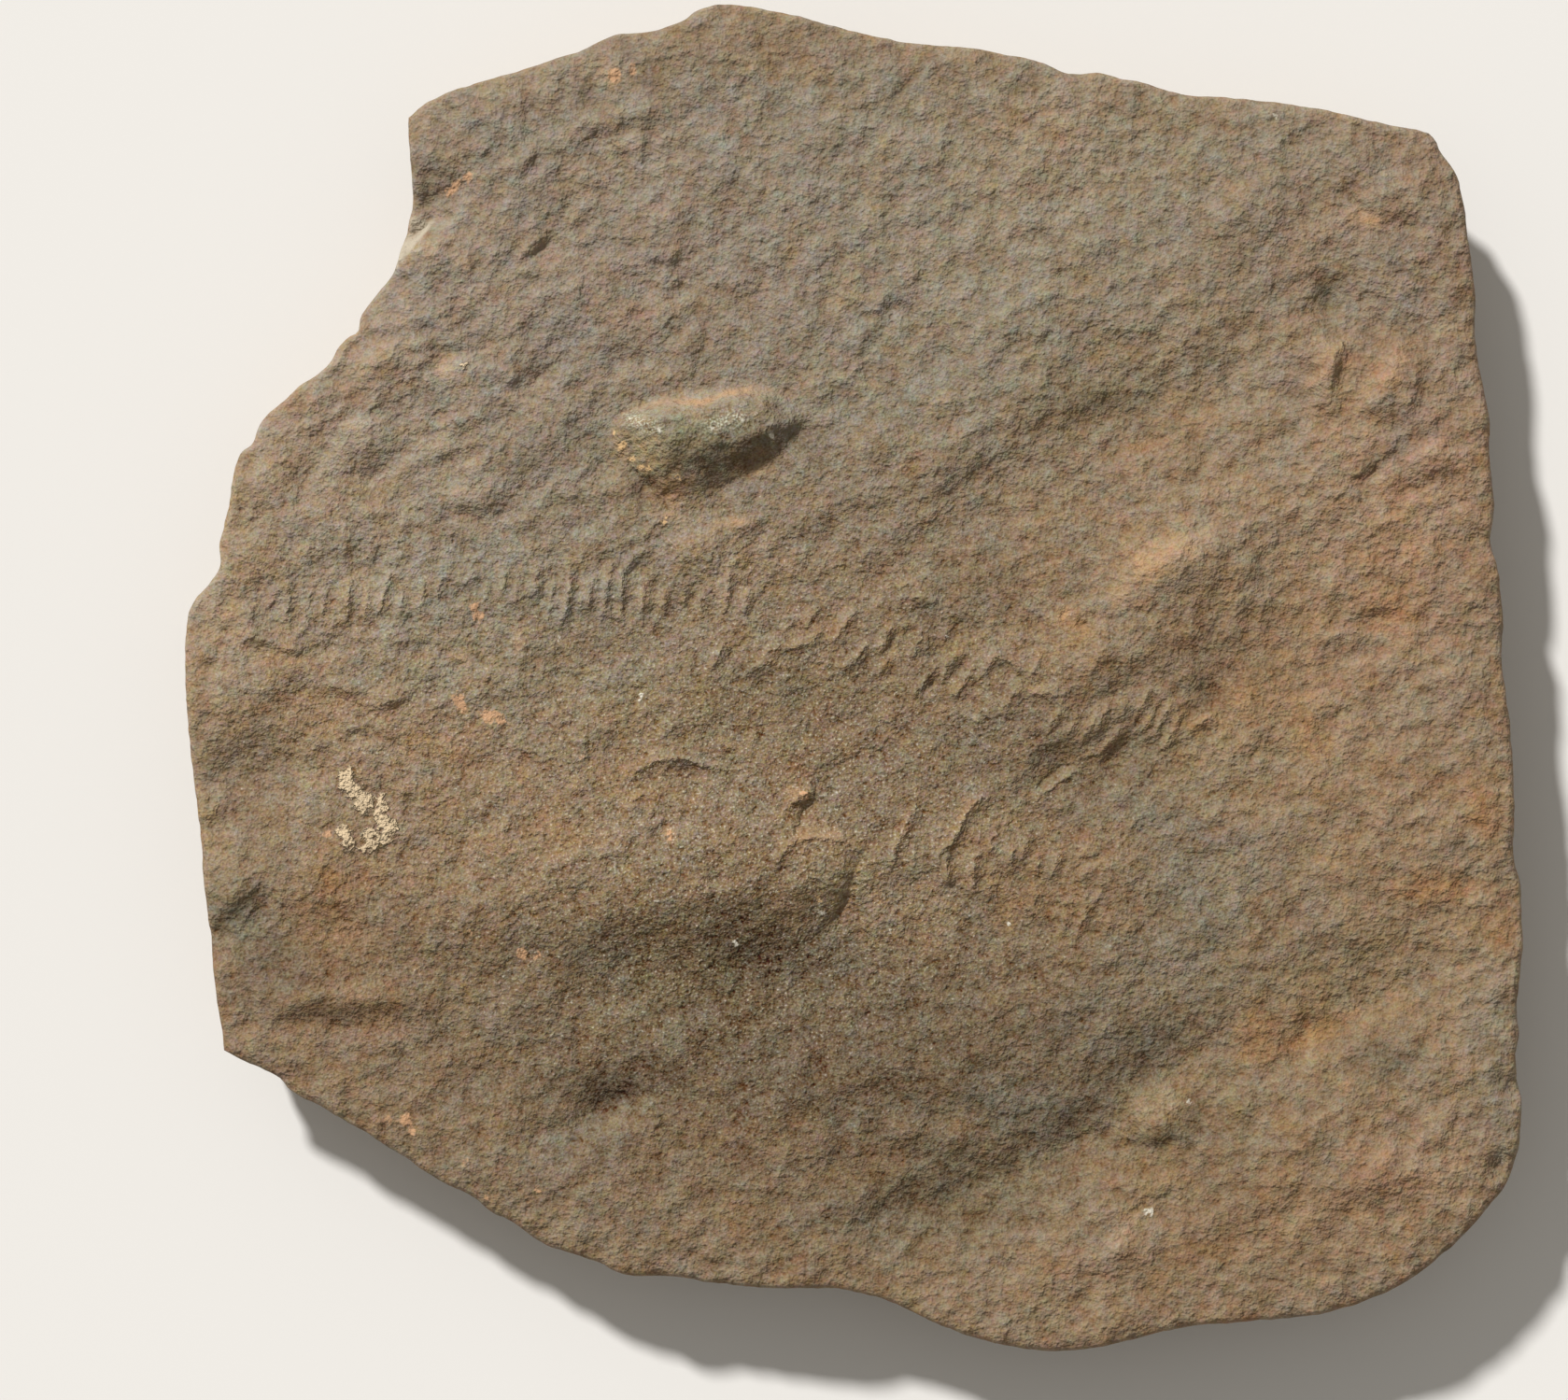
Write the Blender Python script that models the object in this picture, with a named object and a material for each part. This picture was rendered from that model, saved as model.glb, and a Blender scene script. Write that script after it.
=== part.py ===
"""Fossil trilobite trackway: one flat slab of brown sandstone, broken on every edge.

The slab lies on its underside with the trackway face up. The origin is on the rest plane, under the
middle of the slab's box; +X runs to the right and +Y to the head of the slab.
Lengths are in millimetres, and `add_slab` turns them into the metres that the mesh holds.
"""

import bpy
import numpy as np
from mathutils import Vector
from mathutils.geometry import delaunay_2d_cdt

MILLIMETRE = 0.001

# ---------------------------------------------------------------- driving dimensions
FACE_LEVEL = 15.5        # mean height of the trackway face above the rest plane
RIM_ROUND = 1.1          # how far in from the outline the worn top rim begins
RIM_BORDER = 2.6         # width of the border of even triangles inside the rim
RIM_DROP = 1.3           # how far down the worn top rim reaches
UNDERCUT = 3.4           # how far the broken sides lean in by the time they reach the foot
LAYERS = 3               # layers of stone that the sides break into
LEDGE = 1.0              # how far one layer's broken edge stands proud of the next
LEDGE_FALL = 0.5         # height over which one layer gives way to the next
FOOT_HEIGHT = 1.6        # height of the worn lower rim
FOOT_INSET = 1.6         # how far in the rest plane begins below the lower rim
FLAKE = 0.7              # thickness of the flakes missing from the underside
FLAKE_LEVELS = (0.3, 0.6)        # how rare the first and the second missing flake are
FLAKE_STEEPNESS = 4.0            # how steep a flake's edge is
BREAK_SIZE = 13.0        # size of the bulges along a layer's broken edge
FLAKE_SIZES = (38.0, 13.0)       # size of the missing flakes, and of the bays in their edges
FLAKE_BAY = 0.35                 # how much the bays count beside the flakes

OUTLINE_STEP = 4.6       # longest stretch of the outline between two points
RIDGE_STEP = 1.7         # spacing of the points along a ridge, a lip or a slit
NODULE_STEP = 1.9        # spacing of the points on the nodule
GROUND_STEP = 4.8        # spacing of the points on open ground
CLEARANCE = 0.75         # least distance between two points of the face
GROUND_CLEARANCE = 2.4   # least distance from a ground point to a feature's point
BASE_STEP = 6.5          # spacing of the points at the edges of the missing flakes
BASE_REACH = 3.0         # how near a flake's edge such a point stands
BASE_CLEARANCE = 2.0     # least distance from such a point to the lower rim
BELL_REACH = 3.0         # widths out from its line at which a bell curve has come down to nothing
FOOT_REACH = 1.6         # widths out from a line at which its foot gets its points
DIMPLE_REACH = 1.4       # radii out from a dimple's middle at which it gets its ring of points
SHARP_ANGLE = 50         # degrees between two faces from which the edge between them shows

# ---------------------------------------------------------------- the four broken edges
# Each edge runs from corner to corner: along the bottom and the top from left to right, and up the
# left and the right side.
BOTTOM_EDGE = [
    (-84.8, -50.1), (-82.5, -51.3), (-80.0, -52.4), (-77.5, -53.6), (-76.0, -55.4), (-74.5, -56.4),
    (-72.0, -57.4), (-70.0, -58.8), (-67.8, -59.9), (-66.0, -60.8), (-63.0, -62.9), (-60.0, -64.8),
    (-55.8, -67.6), (-51.0, -70.0), (-48.3, -72.2), (-46.2, -73.1), (-44.8, -73.9), (-43.4, -75.2),
    (-42.0, -76.1), (-37.0, -77.7), (-33.8, -78.9), (-32.4, -79.7), (-30.8, -80.2), (-24.0, -80.6),
    (-18.0, -81.5), (-12.0, -82.1), (-5.0, -82.1), (0.0, -82.6), (4.0, -83.6), (10.0, -86.3),
    (14.5, -88.2), (19.0, -89.5), (22.5, -90.2), (27.5, -90.7), (33.0, -90.1), (40.0, -88.5),
    (46.0, -87.2), (52.0, -86.7), (60.0, -86.0), (66.0, -84.9), (70.0, -83.4), (75.0, -80.8),
    (80.0, -76.9), (83.0, -74.0), (86.0, -70.4),
]
RIGHT_EDGE = [
    (86.0, -70.4), (87.4, -68.9), (88.4, -67.3), (89.4, -64.0), (89.8, -61.0), (89.8, -55.2),
    (89.3, -52.4), (89.2, -50.6), (89.5, -49.0), (89.4, -42.4), (89.8, -40.0), (90.1, -31.0),
    (89.9, -27.4), (89.0, -24.4), (89.0, -19.5), (88.7, -9.5), (88.4, -6.0), (87.8, -1.5),
    (87.3, 3.6), (87.5, 6.0), (87.0, 13.0), (85.9, 18.5), (86.3, 24.0), (85.8, 28.5),
    (85.5, 31.5), (85.7, 34.2), (85.3, 36.8), (84.3, 42.0), (83.7, 46.0), (83.8, 51.0),
    (83.2, 55.5), (82.6, 60.5), (82.1, 64.5), (81.5, 67.0), (80.7, 68.8), (79.8, 70.0),
    (79.0, 71.2), (78.4, 72.7), (77.6, 73.6),
]
TOP_EDGE = [
    (-60.0, 75.6), (-58.0, 77.3), (-55.5, 78.5), (-50.2, 80.4), (-46.3, 81.5), (-42.0, 82.9),
    (-35.5, 85.1), (-32.6, 86.5), (-30.0, 87.0), (-27.4, 87.1), (-25.2, 87.7), (-23.0, 88.5),
    (-21.2, 89.9), (-19.3, 90.6), (-17.0, 90.8), (-14.0, 90.5), (-10.0, 89.8), (-5.0, 88.5),
    (0.0, 87.2), (9.5, 85.4), (16.0, 84.9), (21.0, 84.0), (25.5, 82.9), (29.0, 81.5),
    (31.0, 81.4), (33.0, 81.6), (36.0, 80.8), (40.0, 80.1), (43.0, 79.1), (46.0, 78.5),
    (50.0, 78.4), (55.0, 77.8), (60.0, 77.2), (64.0, 76.5), (68.0, 75.5), (74.0, 74.3), (77.6, 73.6),
]
LEFT_EDGE = [
    (-84.8, -50.1), (-85.7, -44.0), (-86.4, -37.0), (-87.4, -27.0), (-88.2, -19.0), (-89.2, -11.0),
    (-89.7, -4.0), (-90.0, 2.0), (-89.8, 7.0), (-89.2, 9.8), (-87.6, 11.8), (-85.9, 13.8),
    (-85.2, 15.4), (-85.4, 17.2), (-84.6, 21.0), (-83.7, 26.0), (-83.2, 28.8), (-82.3, 30.4),
    (-81.0, 31.6), (-80.2, 33.8), (-78.9, 35.7), (-76.3, 37.6), (-74.4, 39.5), (-72.0, 41.0),
    (-70.4, 42.6), (-69.4, 44.6), (-68.0, 46.0), (-66.8, 46.7), (-66.3, 48.8), (-64.8, 51.2),
    (-62.6, 53.6), (-61.4, 56.0), (-60.9, 58.4), (-60.3, 60.8), (-59.6, 63.2), (-59.5, 68.0),
    (-59.8, 72.4), (-60.0, 75.6),
]

# ---------------------------------------------------------------- broad form of the face
# Swells and hollows: middle x and y, half-length, half-width, turn in degrees, height.
SWELLS = [
    (41.4, -58.4, 4.8, 3.6, 20, 0.8), (-31, -58.8, 2.8, 2.2, -20, 0.6), (38, 9, 26, 8, 35, 1.7),
    (-14, -25, 26, 8, 5, 1.8), (58, -20, 34, 12, 12, 1.2), (14, -46, 30, 10, 24, 0.4),
    (52, -50, 26, 8, 30, -0.7), (58, -68, 20, 12, 20, 0.9), (18, -82, 18, 8, 10, 0.5),
    (-33.6, -56.8, 5.6, 4.0, 20, -1.8), (-33, -64, 10, 7, 0, 0.9), (-50, -30, 16, 9, 30, 0.5),
    (-20, -41, 24, 7, 8, -0.5), (-80, -2, 9, 7, 20, 0.9), (-78, -12, 9, 5, 25, -0.9),
    (-84, -28, 5, 4, 0, 1.0), (27, 46, 18, 10, 40, 1.0), (38, 33, 14, 8, 40, -1.1),
    (13, 32, 13, 7, 30, 0.6), (21, 22, 10, 6, 35, -0.6), (70, 32, 14, 12, 60, 0.8),
    (74, 62, 10, 8, 20, 0.6), (-52, 66, 10, 9, 0, 0.4), (-57.5, 63.5, 3.6, 3.4, 20, -1.1),
    (0, 66, 30, 14, -8, 0.5), (-56, 40, 22, 12, 40, 0.5), (62, 5, 12, 5, 10, -0.8),
    (31, -13.4, 12, 4.6, 28, -0.65), (-17, 8, 24, 9, -4, -0.5), (43, 15, 5, 3.4, 35, 0.6),
    (32, 3.6, 5, 3, 30, 0.3), (-55, 56, 4, 3, 0, 0.6), (-62, 42.6, 4, 3, 40, 0.6),
    (-66, 32.6, 3, 2.4, 30, 0.5), (-50, 24.6, 3, 2.6, 0, 0.6), (-54, 39.6, 3.4, 2.6, 20, 0.5),
    (3.4, 32, 3, 2.4, 0, 0.6), (-21, 15.6, 6, 3, 5, 0.6), (-39, -25.6, 4, 3, 10, 0.5),
    (78.4, 28.4, 3.6, 3, 0, 0.7), (21.4, 48.4, 3, 2.4, 0, 0.5), (20.4, 75.4, 4, 3, 0, 0.6),
    (40, -59, 5, 3.4, 10, 0.7), (38.6, -76.6, 3.4, 4.6, 60, 0.7), (51, -86, 4, 3, 0, 0.4),
    (71, -66.6, 5, 3, 10, 0.6), (5, -53, 5, 3, 10, 0.6), (-8, -55.6, 3.4, 3, 30, 0.6),
    (15, -62, 4, 2.6, 20, 0.5), (-14, -62, 4, 2.6, 30, 0.5), (-2, -72, 5, 3, 20, 0.6),
    (47, -33, 5, 3, 20, 0.5), (67, -33, 6, 3, 30, 0.6), (60, -62, 5, 3, 20, 0.5),
    (50, 61, 6, 3, 40, 0.5), (30, 57, 4, 3, 10, 0.5), (-25, 61, 5, 3, 20, 0.4),
    (-48, 75, 6, 3, 20, 0.5), (-6, 56, 4, 3, 0, 0.4), (9, 11, 4, 2.6, 20, 0.4),
    (-70, 21, 5, 3, 40, 0.5), (-84, 14, 3.4, 3, 0, 0.6), (-73, -27, 6, 3, 10, 0.5),
    (-4.4, -25.0, 5.0, 3.6, -10, 1.0), (40, 14.6, 6, 3, 35, 0.9), (-55, 65.4, 4.6, 2.6, 30, -1.2),
    (-81, -12, 6, 4, 45, -0.9), (18, 26, 6, 4, 50, -0.7), (35.4, -12, 4, 2.4, 40, -0.45),
    (26, -12.4, 3.4, 2.2, 20, -0.4), (31, -74, 8, 6, 20, 0.7), (67, -66, 7, 3, 0, 0.6),
    (55, -75, 7, 2.6, 10, -0.6),
]

# Broad steps where the bedding breaks off: a line, the reach to its left and to its right, and its
# height. Above zero it is a crest with a steep front, below zero a trough.
STEPS = [
    ([(55, -50), (63, -46.6), (71, -42.8), (83, -37.6)], 5, 2.4, -0.9),
    ([(-8, -75), (8, -71.6), (20, -67.4), (30, -62), (36, -58.6), (41, -54), (47, -49.6), (54, -46)],
     5.5, 14, -1.9),
    ([(-54, -32), (-40, -31), (-28, -31), (-20, -29.4), (-10, -29), (-1, -30)], 12, 8, 1.5),
    ([(-89, -28), (-80, -29), (-70, -30), (-54, -32.4)], 9, 9, 0.45),
    ([(1, -30), (-5, -36), (-12, -43)], 5, 3, -0.7),
    ([(18, -7), (30, -1), (40, 4), (48, 11), (58, 17)], 12, 8, 1.0),
    ([(-45, -60.5), (-39, -60.6), (-35, -58.2), (-32, -57), (-27.5, -57.2)], 4.5, 4, -1.2),
    ([(-81, -43.6), (-70, -43.0), (-62, -43.0), (-55, -43.6)], 3, 1.3, 1.8),
    ([(57, -49), (66, -46.8), (74, -43), (84, -38.6)], 6, 5, -0.8),
    ([(58, -30.6), (70, -29.6), (80, -27.6), (88.6, -27)], 5, 4, -0.45),
    ([(58.5, 36.4), (60.4, 39), (62, 42.6)], 1.7, 1.6, -1.2),
    ([(61.6, 36.4), (63.8, 40.4), (65, 45.4)], 2, 2, 1.4),
    ([(66.4, 38), (68.2, 42), (70.2, 46.4)], 2, 1.5, -1.1),
    ([(69.4, 35), (71.6, 40), (73.6, 46)], 2.2, 2, 1.5), ([(66, 26), (71, 29.6), (76, 35.4)], 2, 1.6, -1.0),
    ([(57, 50.6), (66, 48.4), (73, 46.8), (80, 48.4)], 2.5, 2.5, -1.1),
    ([(54, 70), (60, 69.4), (66, 69.4), (69, 71.4)], 4, 1.5, 0.6),
]
STEP_ROUND = 0.5         # how far to each side a step's crest is rounded
STEP_FADE = 0.7
STEP_TAIL = 2.4          # reaches out from its line at which a step has come down to nothing
CREST_STEP = 4.0         # spacing of the points along a step's crest

# Rolling ground over all of it, drawn out along the stone's grain.
ROLL_HEIGHT = 0.42
ROLL_SIZE = 24
ROLL_STRETCH = 1.6
GRAIN_TURN = 32

# ---------------------------------------------------------------- the raised nodule
# A mound is a lump with straight feet. Each row is one corner of its foot, anticlockwise, with the
# steepness of the side that starts there; CAP is its top's height, which tilts by TILT along X and Y.
NODULE = [
    (-33.0, 34.6, 1.1), (-33.0, 31.2, 0.6), (-26.4, 24.2, 0.55), (-20.0, 24.4, 0.85),
    (-9.8, 29.8, 0.9), (-5.8, 35.4, 0.7), (-10.6, 39.2, 1.4), (-25.0, 37.8, 1.5),
]
NODULE_CAP = 4.1
NODULE_TILT = (-0.06, -0.27)
NODULE_SOFTNESS = 0.2
NODULE_APRON = 1.1       # how far its rounded foot reaches, as a share of the foot lines

# ---------------------------------------------------------------- the trackway
# Each ridge is a line of points with its height. It runs left to right or upwards, so that its
# right-hand side is the steep one.
UPPER_TRACK = [
    ([(-87.2, -19.0), (-86.9, -15.2)], 0.45), ([(-85.9, -19.2), (-85.6, -15.6)], 0.45),
    ([(-84.5, -18.6), (-84.2, -15.2)], 0.35), ([(-81.4, 7.0), (-80.4, 10.2)], 0.40),
    ([(-78.4, 9.2), (-77.6, 12.6)], 0.40), ([(-76.2, 7.4), (-75.8, 13.0)], 0.50),
    ([(-73.6, 6.8), (-73.0, 11.6)], 0.40), ([(-71.3, 8.2), (-70.8, 12.4)], 0.40),
    ([(-68.2, 7.0), (-67.5, 13.6)], 0.55), ([(-65.6, 7.6), (-65.0, 12.2)], 0.40),
    ([(-63.6, 8.4), (-63.0, 11.2), (-61.9, 14.4)], 0.65), ([(-61.0, 7.8), (-60.2, 12.6)], 0.40),
    ([(-58.4, 8.6), (-57.4, 13.0)], 0.40), ([(-56.0, 10.2), (-55.3, 13.8)], 0.40),
    ([(-52.8, 12.2), (-51.4, 13.4), (-50.6, 14.8)], 0.40), ([(-49.6, 9.0), (-49.0, 13.2)], 0.40),
    ([(-47.2, 11.0), (-46.6, 15.0)], 0.40), ([(-45.3, 9.6), (-44.8, 14.0)], 0.40),
    ([(-42.9, 11.2), (-42.2, 15.4)], 0.45), ([(-40.6, 9.0), (-40.2, 13.2)], 0.40),
    ([(-39.5, 6.6), (-38.5, 9.4), (-38.1, 12.2), (-37.9, 15.8)], 0.70),
    ([(-35.6, 8.6), (-35.2, 13.4)], 0.45), ([(-33.6, 8.2), (-33.0, 12.6), (-32.2, 15.8)], 0.50),
    ([(-31.2, 8.0), (-31.0, 11.0), (-30.9, 14.4), (-29.6, 16.0), (-28.0, 17.4)], 0.65),
    ([(-28.4, 8.6), (-28.0, 13.4)], 0.45), ([(-25.5, 8.2), (-25.1, 11.8)], 0.50),
    ([(-23.0, 9.6), (-22.4, 13.0)], 0.45), ([(-20.6, 8.0), (-20.0, 12.4)], 0.45),
    ([(-17.4, 8.2), (-16.8, 11.6), (-16.6, 15.4)], 0.55), ([(-14.6, 8.4), (-14.0, 12.0)], 0.40),
    ([(-19.2, 1.0), (-18.0, 3.2), (-17.2, 4.8)], 0.60),
    ([(-14.8, 0.2), (-12.6, 1.7), (-10.2, 2.3)], 0.45),
    ([(-12.4, 2.6), (-10.6, 3.8), (-8.0, 4.2), (-5.6, 5.0), (-4.3, 7.0)], 0.50),
    ([(-9.8, 5.6), (-8.4, 7.4), (-7.4, 8.8)], 0.40), ([(-6.6, 6.4), (-5.6, 8.2), (-4.6, 9.8)], 0.40),
    ([(-3.3, 4.4), (-1.5, 6.6), (0.5, 9.5)], 0.55), ([(-2.0, 1.0), (0.5, 2.7), (2.5, 5.4)], 0.50),
    ([(2.8, 0.2), (4.4, 1.7), (5.5, 3.1)], 0.45), ([(3.1, 3.0), (4.2, 5.2), (5.5, 7.3)], 0.40),
    ([(5.8, 4.4), (6.8, 6.0), (7.7, 7.6)], 0.40), ([(7.6, 2.4), (8.6, 4.6), (9.2, 7.0)], 0.45),
    ([(9.7, 3.4), (10.4, 5.8)], 0.35), ([(11.8, 4.4), (12.6, 6.0), (12.5, 7.6)], 0.40),
    ([(12.2, 1.4), (13.4, 2.6), (15.2, 3.5)], 0.50), ([(7.9, -2.6), (9.5, -0.4), (11.3, 1.7)], 0.45),
    ([(11.5, -1.0), (12.9, 1.4)], 0.45), ([(13.2, -2.8), (14.8, -0.8), (15.9, 0.8), (16.3, 2.6)], 0.55),
    ([(16.6, -0.8), (17.8, 1.2), (19.3, 3.3)], 0.50),
    ([(18.4, 3.3), (20.2, 2.5), (22.0, 1.8), (23.4, 0.6)], 0.60),
    ([(23.4, -0.4), (24.5, 1.6), (25.5, 3.6)], 0.50), ([(20.1, -5.4), (20.9, -3.0), (22.7, -0.6)], 0.45),
    ([(23.6, -2.3), (25.4, -1.9), (27.1, -2.4)], 0.45), ([(16.0, -8.2), (16.8, -4.6)], 0.30),
    ([(16.6, -3.6), (17.8, -5.0), (19.0, -6.3)], 0.50),
    ([(26.0, -7.4), (27.0, -5.6), (27.9, -4.2)], 0.40),
    ([(28.4, -8.4), (29.6, -6.2), (30.6, -4.6)], 0.40),
    ([(30.0, -9.2), (31.5, -7.0), (32.9, -4.4)], 0.50),
    ([(32.0, -8.4), (33.2, -6.0), (34.5, -3.2)], 0.50),
    ([(33.0, -10.5), (34.9, -8.2), (36.1, -6.2)], 0.45), ([(35.6, -5.8), (36.9, -2.6)], 0.45),
    ([(37.5, -6.5), (38.7, -3.8), (39.9, -1.1)], 0.60),
    ([(38.8, -7.4), (40.1, -4.8), (41.3, -2.5)], 0.60),
    ([(40.3, -8.0), (41.6, -5.4), (43.0, -2.9)], 0.60),
    ([(41.4, -10.0), (43.0, -7.0), (44.4, -4.3)], 0.60),
    ([(44.9, -7.4), (46.8, -5.9), (48.9, -4.5)], 0.55),
    ([(24.4, -16.2), (27.0, -14.4), (29.8, -12.6)], 0.50),
]
LOWER_TRACK = [
    ([(-29.8, -13.2), (-27.6, -11.6), (-25.0, -10.9), (-22.4, -11.0), (-19.6, -11.9),
      (-16.6, -12.1)], 0.65),
    ([(-29.6, -18.8), (-29.4, -16.6), (-27.8, -15.4), (-26.0, -15.8)], 0.35),
    ([(-29.4, -19.4), (-27.2, -20.0), (-25.2, -19.0)], 0.35),
    ([(-8.6, -17.4), (-7.2, -16.1), (-5.2, -15.1)], 0.8),
    ([(-10.8, -26.8), (-10.0, -24.2), (-8.6, -22.4), (-6.4, -21.5), (-3.4, -21.5), (-0.8, -22.3),
      (1.0, -23.0)], 0.6),
    ([(-20.8, -28.4), (-20.6, -26.0)], 0.4), ([(-20.4, -28.6), (-18.6, -29.0)], 0.4),
    ([(5.5, -25.6), (5.5, -23.2), (6.3, -21.4), (7.4, -19.6), (8.0, -18.0), (8.6, -16.0)], 0.55),
    ([(11.4, -25.6), (11.5, -23.8), (13.0, -22.2), (14.1, -20.6), (14.8, -18.8), (15.7, -17.2),
      (18.7, -15.7)], 0.65),
    ([(12.9, -27.4), (12.5, -25.6), (12.6, -23.8)], 0.55),
    ([(16.3, -29.0), (16.1, -26.6), (16.4, -24.6), (17.2, -22.8)], 0.55),
    ([(18.0, -29.4), (18.6, -27.4)], 0.45), ([(18.2, -23.6), (19.0, -20.6)], 0.45),
    ([(20.4, -25.8), (21.3, -23.2), (21.7, -21.0)], 0.50),
    ([(22.5, -25.2), (22.9, -23.0), (23.5, -21.0)], 0.55), ([(24.4, -26.6), (25.1, -23.6)], 0.50),
    ([(26.5, -27.0), (27.1, -25.0), (27.8, -23.2)], 0.55),
    ([(24.0, -31.0), (24.6, -28.6)], 0.45), ([(28.2, -34.6), (28.8, -31.4)], 0.50),
    ([(30.2, -27.2), (31.6, -25.8), (33.4, -25.1)], 0.45),
    ([(31.1, -31.8), (31.2, -29.8), (30.5, -27.8)], 0.50), ([(31.7, -31.4), (33.0, -29.2)], 0.50),
    ([(20.2, -28.2), (21.9, -29.0), (23.0, -30.6), (24.6, -31.8), (26.6, -32.3)], 0.45),
    ([(30.1, -35.0), (31.0, -31.8)], 0.50), ([(33.8, -34.8), (34.6, -31.6)], 0.50),
    ([(37.1, -20.6), (38.3, -18.2)], 0.45),
]
TRACK_WIDTHS = (0.75, 0.5)       # half-width on the gentle and on the steep side
TRACK_FADE = 0.4                 # how a ridge fades to its ends: the higher, the longer the fade

# ---------------------------------------------------------------- other lips and slits of the face
# Lips: a gentle rise that breaks off sharply on the right-hand side of its line.
LIPS = [
    ([(57.8, 36.8), (60.6, 38.6), (63.2, 40.6), (65.0, 43.6), (66.4, 47.4)], 0.9),
    ([(66.2, 37.2), (68.2, 41.2), (70.8, 45.0)], 0.7), ([(73.0, 33.8), (75.2, 38.4), (76.2, 44.6)], 0.8),
    ([(66.0, 25.4), (69.6, 28.6), (73.0, 31.6), (76.4, 34.8)], 0.7),
    ([(49.4, -58.6), (52.4, -58.0), (54.2, -56.4)], 0.6),
    ([(-82.8, 4.6), (-80.4, 5.4), (-78.2, 4.7), (-76.2, 3.9), (-74.4, 3.6), (-72.8, 4.8)], 0.9),
    ([(-71.2, -0.8), (-68.6, -1.4), (-65.6, -2.0)], 0.9),
    ([(-65.4, -4.4), (-62.2, -3.3), (-59.0, -2.4)], 0.9),
    ([(-69.2, -7.6), (-67.0, -6.6), (-64.0, -6.2)], 0.5),
    ([(-45.6, 66.4), (-43.8, 69.4), (-42.2, 71.8)], 0.9),
    ([(-45.2, 56.2), (-42.4, 58.6), (-40.0, 60.6)], 0.9),
    ([(-40.2, 71.2), (-34.4, 73.6), (-28.0, 75.8), (-21.6, 77.6)], 0.5),
    ([(67.2, 65.4), (68.8, 63.0), (71.0, 61.8), (74.0, 62.8)], 0.8),
    ([(20.6, 60.8), (23.4, 60.3), (28.6, 60.8)], 0.5),
    ([(-44.8, -59.0), (-39.4, -59.5), (-36.8, -60.6)], 0.5),
    ([(-39.6, -58.4), (-36.0, -57.4), (-34.0, -55.6), (-31.4, -55.2), (-28.0, -56.6)], 0.6),
    ([(61.8, 4.4), (66.4, 6.4)], 0.6), ([(66.8, 8.8), (74.0, 9.8)], 0.6),
    ([(-85.0, -34.4), (-81.6, -32.4), (-79.8, -29.4)], 1.1),
    ([(38.6, -61.6), (41.0, -61.8), (44.2, -60.6)], 0.7),
    ([(60.8, -51.8), (63.0, -53.6)], 0.4), ([(77.8, -63.8), (79.6, -60.0), (82.0, -58.6)], 0.7),
    ([(7.6, 10.8), (9.4, 10.5), (11.4, 10.2)], 0.6),
]
LIP_WIDTHS = (2.4, 0.55)
LIP_FADE = 1.0

# Slits and grooves: narrow cuts along a line, with their depth.
SLITS = [
    ([(66.6, 64.8), (68.4, 62.8), (70.4, 61.6)], 0.5),
    ([(-30.6, 28.6), (-28.8, 27.0), (-27.2, 25.6)], 0.5),
    ([(4.4, 2.8), (5.3, 4.6), (6.3, 6.4)], 0.5), ([(6.4, 4.8), (7.6, 6.8)], 0.4),
    ([(9.0, -2.6), (10.6, -0.8), (11.6, 0.6)], 0.35), ([(12.8, -0.6), (15.0, 2.2)], 0.5),
    ([(-15.2, -12.1), (-16.4, -14.0), (-17.0, -16.2), (-17.7, -18.2)], 0.4),
    ([(-8.2, -20.8), (-7.0, -19.6), (-6.5, -17.8), (-5.0, -16.3)], 0.6),
    ([(2.0, -22.4), (0.4, -24.8), (-0.2, -27.4), (-1.2, -30.4), (-3.2, -32.8), (-8.4, -37.4)], 0.4),
    ([(24.6, -15.0), (26.4, -13.4), (29.0, -11.4)], 0.5),
    ([(29.6, -26.4), (30.8, -25.0), (33.8, -24.2)], 0.35), ([(27.0, -30.8), (28.4, -29.9)], 0.4),
    ([(49.6, 40.6), (51.2, 36.8)], 0.5), ([(68.3, 26.2), (70.6, 28.6)], 0.5),
    ([(4.4, 50.0), (9.6, 47.8)], 0.4), ([(27.8, 7.6), (28.6, 9.4)], 0.4),
    ([(29.4, 7.2), (31.9, 6.9)], 0.4), ([(20.0, 78.0), (20.4, 79.2)], 0.5),
    ([(-57.8, 61.8), (-53.6, 62.1)], 0.6), ([(73.4, 60.6), (76.2, 60.8)], 0.4),
]
SLIT_WIDTH = 0.55

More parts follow.
